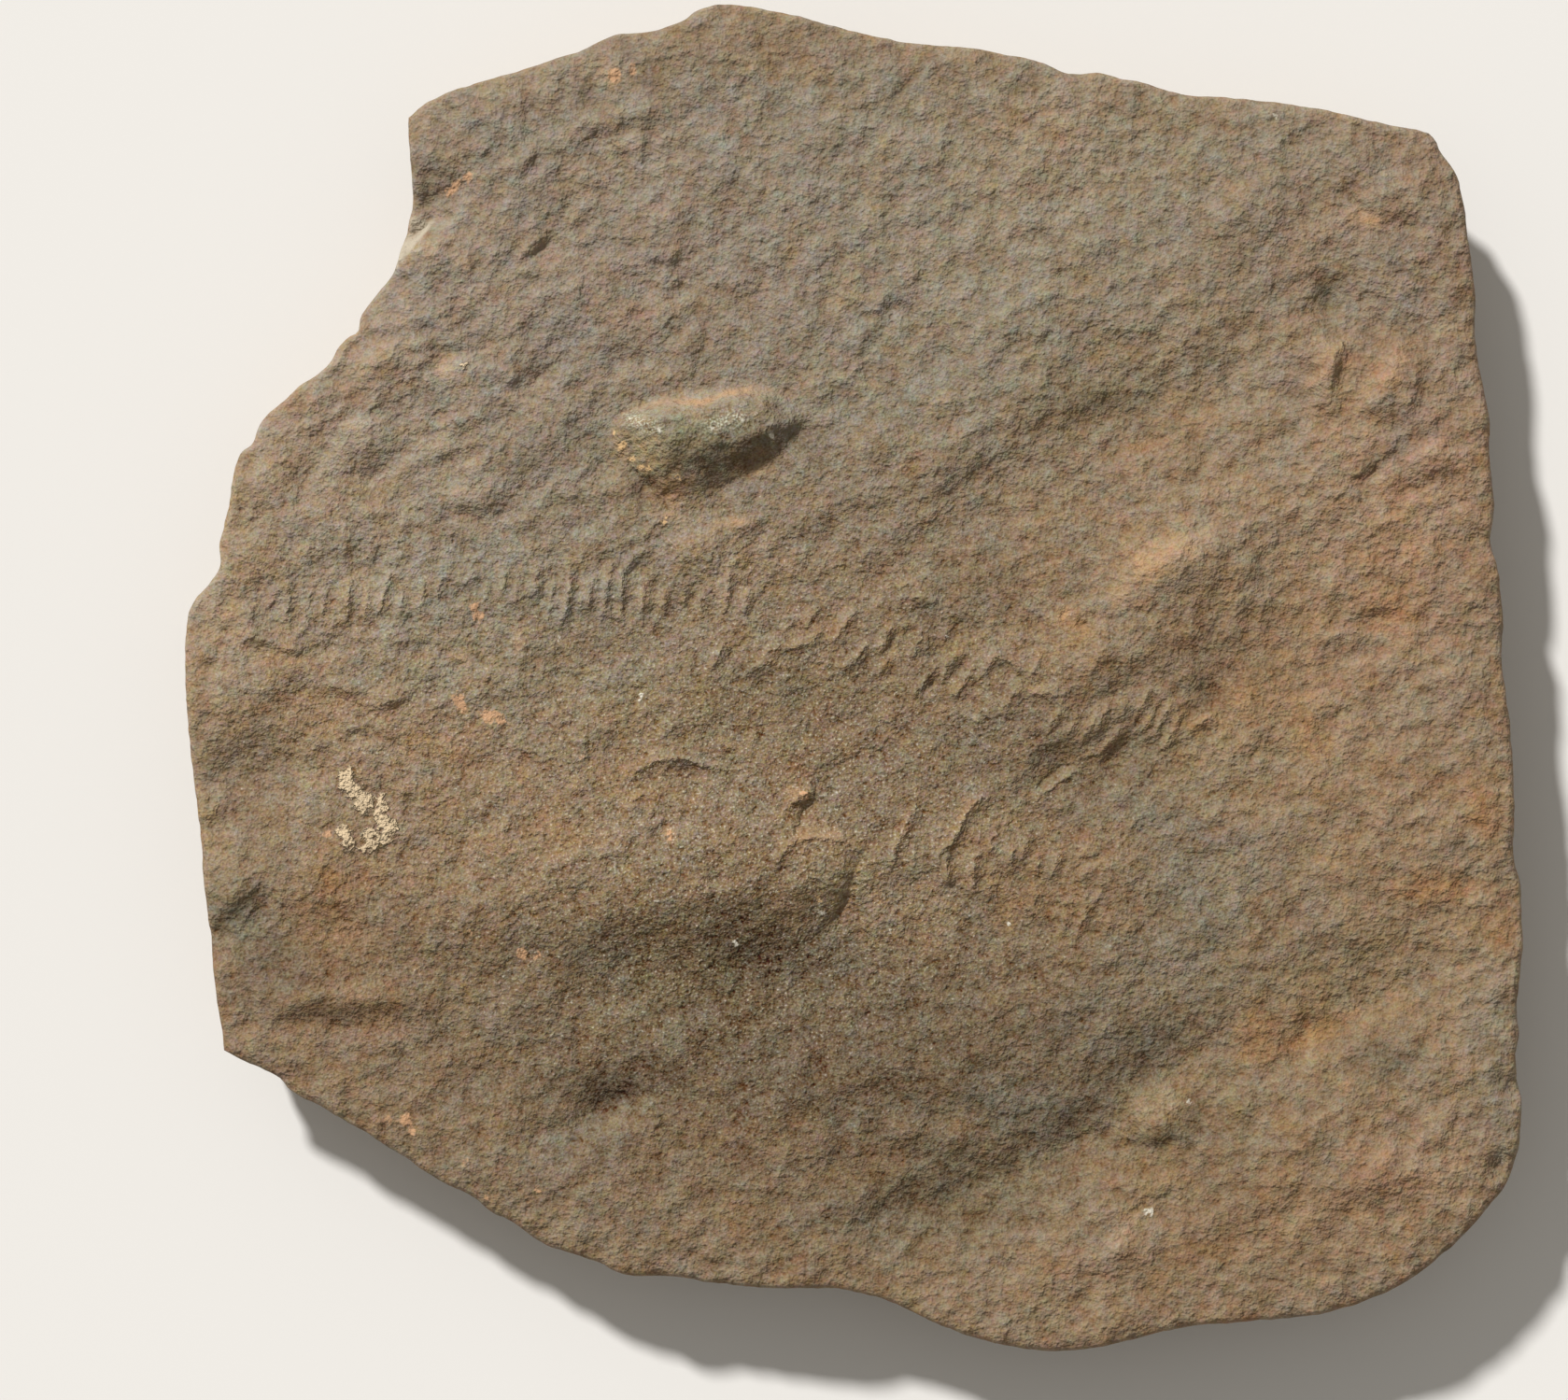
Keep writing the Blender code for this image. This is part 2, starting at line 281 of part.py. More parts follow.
# Pits and small lumps: x, y, radius, height (a pit's is below zero).
DIMPLES = [
    (-34.4, 73.0, 0.9, -0.7), (-27.2, 73.0, 1.0, -0.6), (-39.4, 67.3, 1.1, -0.5),
    (-37.9, 63.8, 1.2, -0.6), (-23.7, 66.7, 1.1, -0.5), (-22.5, 52.9, 1.4, -0.6),
    (-28.7, 52.0, 1.3, -0.6), (2.0, 53.1, 1.2, -0.7), (-3.6, 50.4, 1.1, -0.5), (27.7, 66.4, 0.9, -0.4),
    (30.9, 65.2, 0.9, -0.5), (32.1, 62.9, 0.9, -0.5), (36.5, 67.0, 0.9, -0.4), (27.7, 54.2, 0.8, -0.6),
    (63.6, 51.6, 2.2, -1.3), (52.2, 46.0, 1.0, -0.6), (39.0, 31.9, 1.2, -0.7), (57.9, 32.8, 1.0, -0.5),
    (33.6, 24.9, 1.1, -0.6), (40.9, 19.0, 1.4, -0.9), (43.6, 16.8, 1.6, 0.6), (48.2, -2.4, 1.9, -0.7),
    (37.2, -8.6, 1.2, -0.5), (-63.9, 27.2, 1.4, -0.7), (-51.3, 29.7, 1.3, -0.6),
    (-42.9, 40.3, 1.2, -0.6), (-87.8, 2.9, 1.3, 0.6), (-86.4, 1.5, 0.9, -0.6), (-12.2, -1.3, 1.1, -0.6),
    (-26.3, 12.9, 0.7, -0.4), (-27.0, 9.0, 0.7, -0.4), (-24.2, 9.4, 0.6, -0.4),
    (-18.6, -27.0, 1.0, -0.9), (-8.0, -28.0, 1.2, 0.6), (-4.9, -29.7, 0.6, -0.5),
    (13.1, -28.2, 0.9, -0.7), (-24.3, -21.0, 1.1, 0.4), (-28.1, 25.2, 1.3, -0.9),
    (-33.4, 28.4, 1.6, -0.7), (40.2, -55.0, 1.8, 0.7),
    (39.8, -59.0, 2.6, 0.7), (53.2, -55.6, 1.5, 0.6), (62.2, -60.7, 1.5, 0.5), (35.9, -76.6, 1.8, 0.6),
    (7.7, -60.9, 1.2, 0.4), (14.0, -61.3, 1.8, 0.4), (1.8, -69.5, 0.9, 0.4), (72.3, 64.6, 2.4, 0.6),
    (26.2, -11.0, 2.4, -0.5), (88.6, -55.0, 1.3, -1.3), (87.0, -65.4, 1.4, -1.4),
    (17.8, -36.4, 0.8, -0.5), (-52.0, 3.0, 1.2, 0.4), (-45.0, 4.8, 1.1, 0.4),
]

# The fresh chip at the head of the left edge: a point on its crest, the two directions in which it
# falls away, and how steeply.
CHIP_POINT = (-56.2, 61.4)
CHIP_FALLS = ((-0.77, 0.64), (-0.20, -0.98))
CHIP_SLOPES = (1.5, 1.3)
CHIP_REACH = 9
CHIP_DEPTH = 6

STONE_COLOUR = (0.265, 0.185, 0.118, 1.0)
STONE_ROUGHNESS = 0.9


def curve(points, longest):
    """A smooth line through the points, with more points where two stand over `longest` apart.

    Each stretch is a cubic, and the line's direction at a point is the mean of the stretches
    beside it, weighted by their lengths.
    """
    points = np.array(points, float)
    lengths = np.hypot(*np.diff(points, axis=0).T)
    heading = np.gradient(points, np.concatenate([[0], np.cumsum(lengths)]), axis=0)
    places = []
    for k, length in enumerate(lengths):
        pieces = int(np.ceil(length / longest))
        t = (np.arange(pieces) / pieces)[:, None]
        start = (1 + 2 * t) * (1 - t) ** 2 * points[k] + t * (1 - t) ** 2 * length * heading[k]
        end = t * t * (3 - 2 * t) * points[k + 1] + t * t * (t - 1) * length * heading[k + 1]
        places.append(start + end)
    return np.concatenate(places + [points[-1:]])


def outline():
    """The slab's outline as one closed loop, anticlockwise from the lower left corner."""
    bottom = curve(BOTTOM_EDGE, OUTLINE_STEP)
    right = curve(RIGHT_EDGE, OUTLINE_STEP)
    top = curve(TOP_EDGE, OUTLINE_STEP)[::-1]
    left = curve(LEFT_EDGE, OUTLINE_STEP)[::-1]
    return np.concatenate([bottom[:-1], right[:-1], top[:-1], left[:-1]])


def outward(loop):
    """The outward direction at each point of an anticlockwise loop, evened out over its neighbours."""
    heading = sum(np.roll(loop, -shift, axis=0) - np.roll(loop, shift, axis=0) for shift in (1, 2, 3))
    heading /= np.hypot(*heading.T)[:, None]
    return np.stack([heading[:, 1], -heading[:, 0]], axis=1)


def within(points, loop):
    """Whether each point is inside a closed loop.

    A line from it to the right crosses the loop an odd number of times.
    """
    x, y = points.T[:, :, None]
    x0, y0 = loop.T
    x1, y1 = np.roll(loop, -1, axis=0).T
    spans = (y0 > y) != (y1 > y)
    crossing = x0 + (y - y0) * (x1 - x0) / np.where(y1 == y0, 1, y1 - y0)
    return (spans & (crossing > x)).sum(axis=1) % 2 == 1


def spaced(points, kept, clearance):
    """`kept` with the points added in turn that stand at least `clearance` from every one before."""
    kept = list(kept)
    for point in points:
        if not kept or np.hypot(*(np.array(kept) - point).T).min() >= clearance:
            kept.append(point)
    return kept


def lumps(x, y, size, seed):
    """Random rounded lumps about `size` across, from -1 to 1.

    Every corner of a square lattice has a slope in a random direction, and the slopes of a square's
    four corners are blended with an S-shaped curve.
    """
    count = 512
    turn = np.random.default_rng(seed).uniform(0, 2 * np.pi, (count, count))
    i, fx = np.divmod(x / size, 1)
    j, fy = np.divmod(y / size, 1)
    i = i.astype(int)
    j = j.astype(int)

    def corner(di, dj):
        angle = turn[(i + di) % count, (j + dj) % count]
        return np.cos(angle) * (fx - di) + np.sin(angle) * (fy - dj)

    sx = fx ** 3 * (fx * (6 * fx - 15) + 10)
    sy = fy ** 3 * (fy * (6 * fy - 15) + 10)
    low = corner(0, 0) * (1 - sx) + corner(1, 0) * sx
    high = corner(0, 1) * (1 - sx) + corner(1, 1) * sx
    return 1.4 * (low * (1 - sy) + high * sy)


def swell(x, y, middle_x, middle_y, half_length, half_width, turn):
    """1 in the middle, falling in a bell curve over the half-length one way and the half-width the other."""
    turn = np.radians(turn)
    lengthways = (x - middle_x) * np.cos(turn) + (y - middle_y) * np.sin(turn)
    crossways = (y - middle_y) * np.cos(turn) - (x - middle_x) * np.sin(turn)
    return np.exp(-(lengthways / half_length) ** 2 - (crossways / half_width) ** 2)


def beside(x, y, points, reach):
    """Which places lie near a line through the points, how far from it they are, and how far along it.

    The distance is positive to the left of the line's direction; the way along runs from 0 to 1.
    """
    points = np.array(points)
    low = points.min(axis=0) - reach
    high = points.max(axis=0) + reach
    near = (x > low[0]) & (x < high[0]) & (y > low[1]) & (y < high[1])
    place = np.stack([x[near], y[near]], axis=1)
    nearest = np.full(len(place), np.inf)
    share = np.zeros(len(place))
    way = np.concatenate([[0], np.cumsum(np.hypot(*np.diff(points, axis=0).T))])
    for start, end, gone, total in zip(points[:-1], points[1:], way, way[1:]):
        step = end - start
        t = np.clip((place - start) @ step / (step @ step), 0, 1)
        away = place - start - t[:, None] * step
        left = step[0] * away[:, 1] - step[1] * away[:, 0] > 0
        distance = np.hypot(*away.T)
        closer = distance < np.abs(nearest)
        nearest[closer] = np.where(left, distance, -distance)[closer]
        share[closer] = (gone + t * (total - gone))[closer] / way[-1]
    return near, nearest, share


def taper(share, fade):
    """A parabola that is 0 at both ends of a line and 1 in its middle, raised to the power `fade`."""
    return (1 - (2 * share - 1) ** 2) ** fade


def ridge(x, y, points, left_width, right_width, fade):
    """1 on a line through the points, falling in a bell curve to each side and tapering to both ends."""
    near, distance, share = beside(x, y, points, BELL_REACH * max(left_width, right_width))
    width = np.where(distance > 0, left_width, right_width)
    height = np.zeros_like(x)
    height[near] = taper(share, fade) * np.exp(-(distance / width) ** 2)
    return height


def step(x, y, points, left_reach, right_reach):
    """1 on a line through the points, falling away from a sharp crest and tapering to both ends.

    Off the line it is exp(-off / reach) * exp(-(distance / tail) ^ 4), where `off` is the distance
    less its rounding at the crest and the tail is STEP_TAIL reaches.
    """
    near, distance, share = beside(x, y, points, BELL_REACH * max(left_reach, right_reach))
    reach = np.where(distance > 0, left_reach, right_reach)
    off = np.hypot(distance, STEP_ROUND) - STEP_ROUND
    height = np.zeros_like(x)
    height[near] = taper(share, STEP_FADE) * np.exp(-off / reach - (distance / (STEP_TAIL * reach)) ** 4)
    return height


def mound(x, y, feet, cap, tilt, softness):
    """A lump's height: the lowest of the planes that rise from its foot lines and of its tilted cap.

    The planes meet in edges rounded over about `softness`, and the foot fades out in the same way.
    """
    x_foot, y_foot, steepness = np.array(feet).T
    run_x = np.roll(x_foot, -1) - x_foot
    run_y = np.roll(y_foot, -1) - y_foot
    length = np.hypot(run_x, run_y)
    planes = [cap + tilt[0] * (x - x_foot.mean()) + tilt[1] * (y - y_foot.mean())]
    for k, steep in enumerate(steepness):
        inside = (run_x[k] * (y - y_foot[k]) - run_y[k] * (x - x_foot[k])) / length[k]
        planes.append(steep * inside)
    lowest = -softness * np.log(sum(np.exp(-np.clip(plane, -9, 9) / softness) for plane in planes))
    return softness * np.log1p(np.exp(lowest / softness))


def chip(x, y):
    """How much the fresh chip takes off: two planes that fall away from its crest, the higher one left."""
    falls = [
        slope * ((x - CHIP_POINT[0]) * fall[0] + (y - CHIP_POINT[1]) * fall[1])
        for fall, slope in zip(CHIP_FALLS, CHIP_SLOPES)
    ]
    near = np.hypot(x - CHIP_POINT[0], y - CHIP_POINT[1]) < CHIP_REACH
    return np.where(near, np.clip(np.minimum(*falls), 0, CHIP_DEPTH), 0)


def face_height(x, y):
    """Height of the trackway face: broad swells, rolling ground, then every named feature."""
    height = np.full_like(x, FACE_LEVEL)
    for middle_x, middle_y, half_length, half_width, turn, rise in SWELLS:
        height += rise * swell(x, y, middle_x, middle_y, half_length, half_width, turn)
    grain = np.radians(GRAIN_TURN)
    lengthways = x * np.cos(grain) + y * np.sin(grain)
    crossways = y * np.cos(grain) - x * np.sin(grain)
    height += ROLL_HEIGHT * lumps(lengthways, ROLL_STRETCH * crossways, ROLL_SIZE, seed=11)
    for points, left_reach, right_reach, rise in STEPS:
        height += rise * step(x, y, points, left_reach, right_reach)
    height += mound(x, y, NODULE, NODULE_CAP, NODULE_TILT, NODULE_SOFTNESS)
    for points, rise in UPPER_TRACK + LOWER_TRACK:
        height += rise * ridge(x, y, points, *TRACK_WIDTHS, TRACK_FADE)
    for points, rise in LIPS:
        height += rise * ridge(x, y, points, *LIP_WIDTHS, LIP_FADE)
    for points, depth in SLITS:
        height -= depth * ridge(x, y, points, SLIT_WIDTH, SLIT_WIDTH, TRACK_FADE)
    for middle_x, middle_y, radius, rise in DIMPLES:
        height += rise * swell(x, y, middle_x, middle_y, radius, radius, 0)
    return height - chip(x, y)


def underside_height(x, y):
    """Height of the underside: the rest plane, with shallow flakes missing in steps."""
    ground = lumps(x, y, FLAKE_SIZES[0], seed=21) + FLAKE_BAY * lumps(x, y, FLAKE_SIZES[1], seed=22)
    steps = sum(np.clip(FLAKE_STEEPNESS * (ground - level), 0, 1) for level in FLAKE_LEVELS)
    return FLAKE * steps


def feature_points():
    """Places for the face's points: all over the nodule, and the crest and feet of every line and dimple."""
    lines = [(points, *TRACK_WIDTHS) for points, _ in UPPER_TRACK + LOWER_TRACK]
    lines += [(points, *LIP_WIDTHS) for points, _ in LIPS]
    lines += [(points, SLIT_WIDTH, SLIT_WIDTH) for points, _ in SLITS]
    crests = []
    feet = []
    for points, left_width, right_width in lines:
        middle = curve(points, RIDGE_STEP)
        heading = np.gradient(middle, axis=0)
        heading /= np.hypot(*heading.T)[:, None]
        left = np.stack([-heading[:, 1], heading[:, 0]], axis=1)
        crests += list(middle[1:-1]) + [middle[0], middle[-1]]
        feet += list(middle[1:-1] + FOOT_REACH * left_width * left[1:-1])
        feet += list(middle[1:-1] - FOOT_REACH * right_width * left[1:-1])
    corners = np.array(NODULE)[:, :2]
    foot = np.stack([corners, (corners + np.roll(corners, -1, axis=0)) / 2], axis=1).reshape(-1, 2)
    apron = foot.mean(axis=0) + NODULE_APRON * (foot - foot.mean(axis=0))
    ground = ground_points(NODULE_STEP)
    nodule = np.concatenate([apron, foot, ground[within(ground, foot)]])
    angle = np.radians([0, 72, 144, 216, 288])
    ring = DIMPLE_REACH * np.stack([np.cos(angle), np.sin(angle)], axis=1)
    for middle_x, middle_y, radius, _ in DIMPLES:
        crests.append(np.array([middle_x, middle_y]))
        feet += list(crests[-1] + radius * ring)
    return list(nodule) + crests + feet


def ground_points(step):
    """A staggered lattice over the whole slab, each place moved a little at random."""
    columns, rows = np.meshgrid(np.arange(-95, 96, step), np.arange(-95, 96, 0.87 * step))
    columns[1::2] += step / 2
    stray = np.random.default_rng(5).uniform(-0.2, 0.2, (2, columns.size)) * step
    return np.stack([columns.ravel(), rows.ravel()], axis=1) + stray.T


def face_points(rim):
    """Points for the trackway face inside its rim, close together only where something stands out."""
    inner = rim - CLEARANCE * outward(rim)
    crests = [curve(points, CREST_STEP) for points, *_ in STEPS]
    features = np.array(feature_points() + list(np.concatenate(crests)))
    points = spaced(features[within(features, inner)], [], CLEARANCE)
    border = rim - RIM_BORDER * outward(rim)
    points = spaced(border, points, GROUND_CLEARANCE)
    ground = ground_points(GROUND_STEP)
    return np.array(spaced(ground[within(ground, border)], points, GROUND_CLEARANCE))


def base_points(rim):
    """Points for the underside inside its rim, only where a flake's edge crosses the rest plane."""
    ground = ground_points(BASE_STEP)
    ground = ground[within(ground, rim - BASE_CLEARANCE * outward(rim))]
    probes = BASE_REACH * np.array([(0, 0), (1, 0), (-1, 0), (0, 1), (0, -1)])
    around = [underside_height(*(ground + probe).T) for probe in probes]
    return ground[np.ptp(around, axis=0) > 0]


def triangulated(rim, inner):
    """Triangles that fill the rim and pass through every inner point, as numbers into rim + inner."""
    places = [Vector(place) for place in np.concatenate([rim, inner])]
    filled = delaunay_2d_cdt(places, [], [list(range(len(rim)))], 1, 1e-6)
    if len(filled[0]) != len(places):
        raise ValueError("two points of the face or the underside fell on each other")
    return np.array(filled[2])


def side_rings(loop, normal, top_height):
    """The rings of points down the broken sides, a pair for every layer of the stone.

    Each layer's edge stands in or out by its own slowly changing amount, and the whole side leans in.
    """
    rings = []
    shares = np.linspace(0, 1, LAYERS + 1)
    depth = top_height - RIM_DROP - FOOT_HEIGHT
    for layer in range(LAYERS):
        ledge = LEDGE * (1 + lumps(*loop.T, BREAK_SIZE, seed=31 + layer))
        for share, fall in ((shares[layer], LEDGE_FALL * (layer > 0)), (shares[layer + 1], 0)):
            inset = UNDERCUT * share ** 1.5 + ledge * (share > 0)
            height = FOOT_HEIGHT + depth * (1 - share) - fall
            rings.append(np.column_stack([loop - inset[:, None] * normal, height]))
    return rings


def slab_points_and_faces():
    """The slab's skin: the face, the rings down the sides and the underside, sewn together."""
    loop = outline()
    normal = outward(loop)
    count = len(loop)

    rim = loop - RIM_ROUND * normal
    inner = face_points(rim)
    face = np.concatenate([rim, inner])
    face = np.column_stack([face, face_height(*face.T)])
    face_triangles = triangulated(rim, inner)

    rings = side_rings(loop, normal, face[:count, 2])
    foot = rings[-1][:, :2] - FOOT_INSET * normal
    base_inner = base_points(foot)
    base = np.concatenate([foot, base_inner])
    base = np.column_stack([base, underside_height(*base.T)])
    base_start = len(face) + count * len(rings)
    base_triangles = triangulated(foot, base_inner)[:, ::-1] + base_start

    starts = [0] + [len(face) + count * k for k in range(len(rings))] + [base_start]
    side_faces = [band(upper, lower, count) for upper, lower in zip(starts, starts[1:])]
    faces = face_triangles.tolist() + np.concatenate(side_faces).tolist() + base_triangles.tolist()
    return np.concatenate([face] + rings + [base]), faces


def band(upper, lower, count):
    """Triangles between two rings of `count` points, given the number of each ring's first point."""
    here = np.arange(count)
    after = (here + 1) % count
    return np.concatenate([
        np.stack([upper + here, lower + here, lower + after], axis=1),
        np.stack([upper + here, lower + after, upper + after], axis=1),
    ])


def stone_material():
    material = bpy.data.materials.new("sandstone")
    material.use_nodes = True
    shader = material.node_tree.nodes["Principled BSDF"]
    shader.inputs["Base Color"].default_value = STONE_COLOUR
    shader.inputs["Roughness"].default_value = STONE_ROUGHNESS
    shader.inputs["Metallic"].default_value = 0.0
    return material


def add_slab():
    points, faces = slab_points_and_faces()
    mesh = bpy.data.meshes.new("trackway_slab")
    mesh.from_pydata((points * MILLIMETRE).tolist(), [], faces)
    mesh.materials.append(stone_material())
    mesh.shade_smooth()
    mesh.set_sharp_from_angle(angle=np.radians(SHARP_ANGLE))
    slab = bpy.data.objects.new("trackway_slab", mesh)
    bpy.context.scene.collection.objects.link(slab)
    return slab


for old in list(bpy.data.objects):
    bpy.data.objects.remove(old)
add_slab()
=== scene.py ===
import bpy
import numpy as np
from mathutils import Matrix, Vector


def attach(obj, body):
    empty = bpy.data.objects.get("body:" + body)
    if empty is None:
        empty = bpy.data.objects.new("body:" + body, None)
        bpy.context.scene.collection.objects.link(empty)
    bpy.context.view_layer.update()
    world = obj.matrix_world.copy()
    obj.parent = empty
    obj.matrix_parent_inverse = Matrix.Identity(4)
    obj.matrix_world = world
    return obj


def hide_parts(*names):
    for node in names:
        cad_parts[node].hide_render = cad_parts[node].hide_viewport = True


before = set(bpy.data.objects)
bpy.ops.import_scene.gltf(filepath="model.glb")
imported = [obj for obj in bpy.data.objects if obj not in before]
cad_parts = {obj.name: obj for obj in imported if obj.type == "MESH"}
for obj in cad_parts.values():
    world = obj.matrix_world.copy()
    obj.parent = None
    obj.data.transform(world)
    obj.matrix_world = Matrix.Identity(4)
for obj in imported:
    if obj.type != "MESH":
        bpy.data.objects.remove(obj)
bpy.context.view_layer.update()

# ================================================================ the trackway slab
# One flag of fine brown sandstone, split off along its bedding and broken on every edge. Its face
# carries the cast of a trilobite's walk: rows of small curved ridges, and a nodule of harder stone.
# It is one piece. Lengths here are in millimetres until the mesh is made.

MILLIMETRE = 0.001
FACE_LEVEL = 15.5          # mean height of the face above the rest plane

# ---- the outline: four broken edges from corner to corner, the bottom and the top from left to
# right, the left and the right side upwards
BOTTOM_EDGE = [
    (-84.8, -50.1), (-82.5, -51.3), (-80.0, -52.4), (-77.5, -53.6), (-76.0, -55.4), (-74.5, -56.4),
    (-72.0, -57.4), (-70.0, -58.8), (-67.8, -59.9), (-66.0, -60.8), (-63.0, -62.9), (-60.0, -64.8),
    (-55.8, -67.6), (-51.0, -70.0), (-48.3, -72.2), (-46.2, -73.1), (-44.8, -73.9), (-43.4, -75.2),
    (-42.0, -76.1), (-37.0, -77.7), (-33.8, -78.9), (-32.4, -79.7), (-30.8, -80.2), (-24.0, -80.6),
    (-18.0, -81.5), (-12.0, -82.1), (-5.0, -82.1), (0.0, -82.6), (4.0, -83.6), (10.0, -86.3),
    (14.5, -88.2), (19.0, -89.5), (22.5, -90.2), (27.5, -90.7), (33.0, -90.1), (40.0, -88.5),
    (46.0, -87.2), (52.0, -86.7), (60.0, -86.0), (66.0, -84.9), (70.0, -83.4), (75.0, -80.8),
    (80.0, -76.9), (83.0, -74.0), (86.0, -70.4),
]
RIGHT_EDGE = [
    (86.0, -70.4), (87.4, -68.9), (88.4, -67.3), (89.4, -64.0), (89.8, -61.0), (89.8, -55.2),
    (89.3, -52.4), (89.2, -50.6), (89.5, -49.0), (89.4, -42.4), (89.8, -40.0), (90.1, -31.0),
    (89.9, -27.4), (89.0, -24.4), (89.0, -19.5), (88.7, -9.5), (88.4, -6.0), (87.8, -1.5),
    (87.3, 3.6), (87.5, 6.0), (87.0, 13.0), (85.9, 18.5), (86.3, 24.0), (85.8, 28.5),
    (85.5, 31.5), (85.7, 34.2), (85.3, 36.8), (84.3, 42.0), (83.7, 46.0), (83.8, 51.0),
    (83.2, 55.5), (82.6, 60.5), (82.1, 64.5), (81.5, 67.0), (80.7, 68.8), (79.8, 70.0),
    (79.0, 71.2), (78.4, 72.7), (77.6, 73.6),
]
TOP_EDGE = [
    (-60.0, 75.6), (-58.0, 77.3), (-55.5, 78.5), (-50.2, 80.4), (-46.3, 81.5), (-42.0, 82.9),
    (-35.5, 85.1), (-32.6, 86.5), (-30.0, 87.0), (-27.4, 87.1), (-25.2, 87.7), (-23.0, 88.5),
    (-21.2, 89.9), (-19.3, 90.6), (-17.0, 90.8), (-14.0, 90.5), (-10.0, 89.8), (-5.0, 88.5),
    (0.0, 87.2), (9.5, 85.4), (16.0, 84.9), (21.0, 84.0), (25.5, 82.9), (29.0, 81.5),
    (31.0, 81.4), (33.0, 81.6), (36.0, 80.8), (40.0, 80.1), (43.0, 79.1), (46.0, 78.5),
    (50.0, 78.4), (55.0, 77.8), (60.0, 77.2), (64.0, 76.5), (68.0, 75.5), (74.0, 74.3), (77.6, 73.6),
]
LEFT_EDGE = [
    (-84.8, -50.1), (-85.7, -44.0), (-86.4, -37.0), (-87.4, -27.0), (-88.2, -19.0), (-89.2, -11.0),
    (-89.7, -4.0), (-90.0, 2.0), (-89.8, 7.0), (-89.2, 9.8), (-87.6, 11.8), (-85.9, 13.8),
    (-85.2, 15.4), (-85.4, 17.2), (-84.6, 21.0), (-83.7, 26.0), (-83.2, 28.8), (-82.3, 30.4),
    (-81.0, 31.6), (-80.2, 33.8), (-78.9, 35.7), (-76.3, 37.6), (-74.4, 39.5), (-72.0, 41.0),
    (-70.4, 42.6), (-69.4, 44.6), (-68.0, 46.0), (-66.8, 46.7), (-66.3, 48.8), (-64.8, 51.2),
    (-62.6, 53.6), (-61.4, 56.0), (-60.9, 58.4), (-60.3, 60.8), (-59.6, 63.2), (-59.5, 68.0),
    (-59.8, 72.4), (-60.0, 75.6),
]
RAGGED_EDGE = [(3.1, 0.16, 41), (1.3, 0.10, 42)]      # each row: size, depth, seed
PRIMES = (73856093, 19349663, 83492791, 2971215073, 2246822519, 3266489917)     # mix the random bits
LUMP_SCALE = 1.5           # brings the random lumps to heights from -1 to 1
EVENED_OVER = 5            # neighbours on each side that a direction of the outline is evened out over


def along(points, shares):
    """Places on a smooth line through the points, at the given shares of its length.

    Each stretch is a cubic whose direction at a point is the mean of the stretches beside it,
    weighted by their lengths.
    """
    points = np.array(points, float)
    way = np.concatenate([[0], np.cumsum(np.hypot(*np.diff(points, axis=0).T))])
    heading = np.gradient(points, way, axis=0)
    length = np.asarray(shares) * way[-1]
    stretch = np.clip(np.searchsorted(way, length, side="right") - 1, 0, len(points) - 2)
    step = (way[stretch + 1] - way[stretch])[:, None]
    t = (length - way[stretch])[:, None] / step
    start = (1 + 2 * t) * (1 - t) ** 2 * points[stretch] + t * (1 - t) ** 2 * step * heading[stretch]
    end = t * t * (3 - 2 * t) * points[stretch + 1] + t * t * (t - 1) * step * heading[stretch + 1]
    return start + end


def crowded(cells, middle, amount):
    """Shares from 0 to 1 that stand closer together around `middle`.

    Even shares t are moved to t + amount / 2 pi * (sin(2 pi (t - s)) + sin(2 pi s)), with s half a
    turn before the middle, so their spacing is 1 - amount of the mean there.
    """
    t = np.linspace(0, 1, cells + 1)
    s = middle - 0.5
    return t + amount / (2 * np.pi) * (np.sin(2 * np.pi * (t - s)) + np.sin(2 * np.pi * s))


def lumps(x, y, z, size, seed):
    """Random rounded lumps about `size` across, from -1 to 1.

    Every corner of a cubic lattice has a slope in a random direction, and the slopes of a cube's
    eight corners are blended with an S-shaped curve in each direction. The direction comes from the
    corner's own number, whose bits are mixed until they look random.
    """
    place = np.stack(np.broadcast_arrays(x, y, z)) / size
    cell = np.floor(place).astype(np.int64)
    part = place - cell
    ease = part ** 3 * (part * (6 * part - 15) + 10)
    total = 0
    for corner in np.ndindex(2, 2, 2):
        step = np.reshape(corner, (3,) + (1,) * x.ndim)
        i, j, k = cell + step
        mixed = (i * PRIMES[0] ^ j * PRIMES[1] ^ k * PRIMES[2] ^ seed * PRIMES[3]) & 0xFFFFFFFF
        for shift, prime in ((15, PRIMES[4]), (13, PRIMES[5])):
            mixed = ((mixed ^ mixed >> shift) * prime) & 0xFFFFFFFF
        turn = 2 * np.pi * (mixed & 0xFFFF) / 0x10000
        rise = 2 * (mixed >> 16) / 0x10000 - 1
        level = np.sqrt(1 - rise ** 2)
        slope = np.stack([level * np.cos(turn), level * np.sin(turn), rise])
        weight = np.where(step, ease, 1 - ease).prod(axis=0)
        total = total + weight * (slope * (part - step)).sum(axis=0)
    return LUMP_SCALE * total


def outward(loop):
    """The outward direction at each point of an anticlockwise loop, evened out over its neighbours."""
    reach = range(1, EVENED_OVER + 1)
    heading = sum(np.roll(loop, -shift, axis=0) - np.roll(loop, shift, axis=0) for shift in reach)
    heading /= np.hypot(*heading.T)[:, None]
    return np.stack([heading[:, 1], -heading[:, 0]], axis=1)


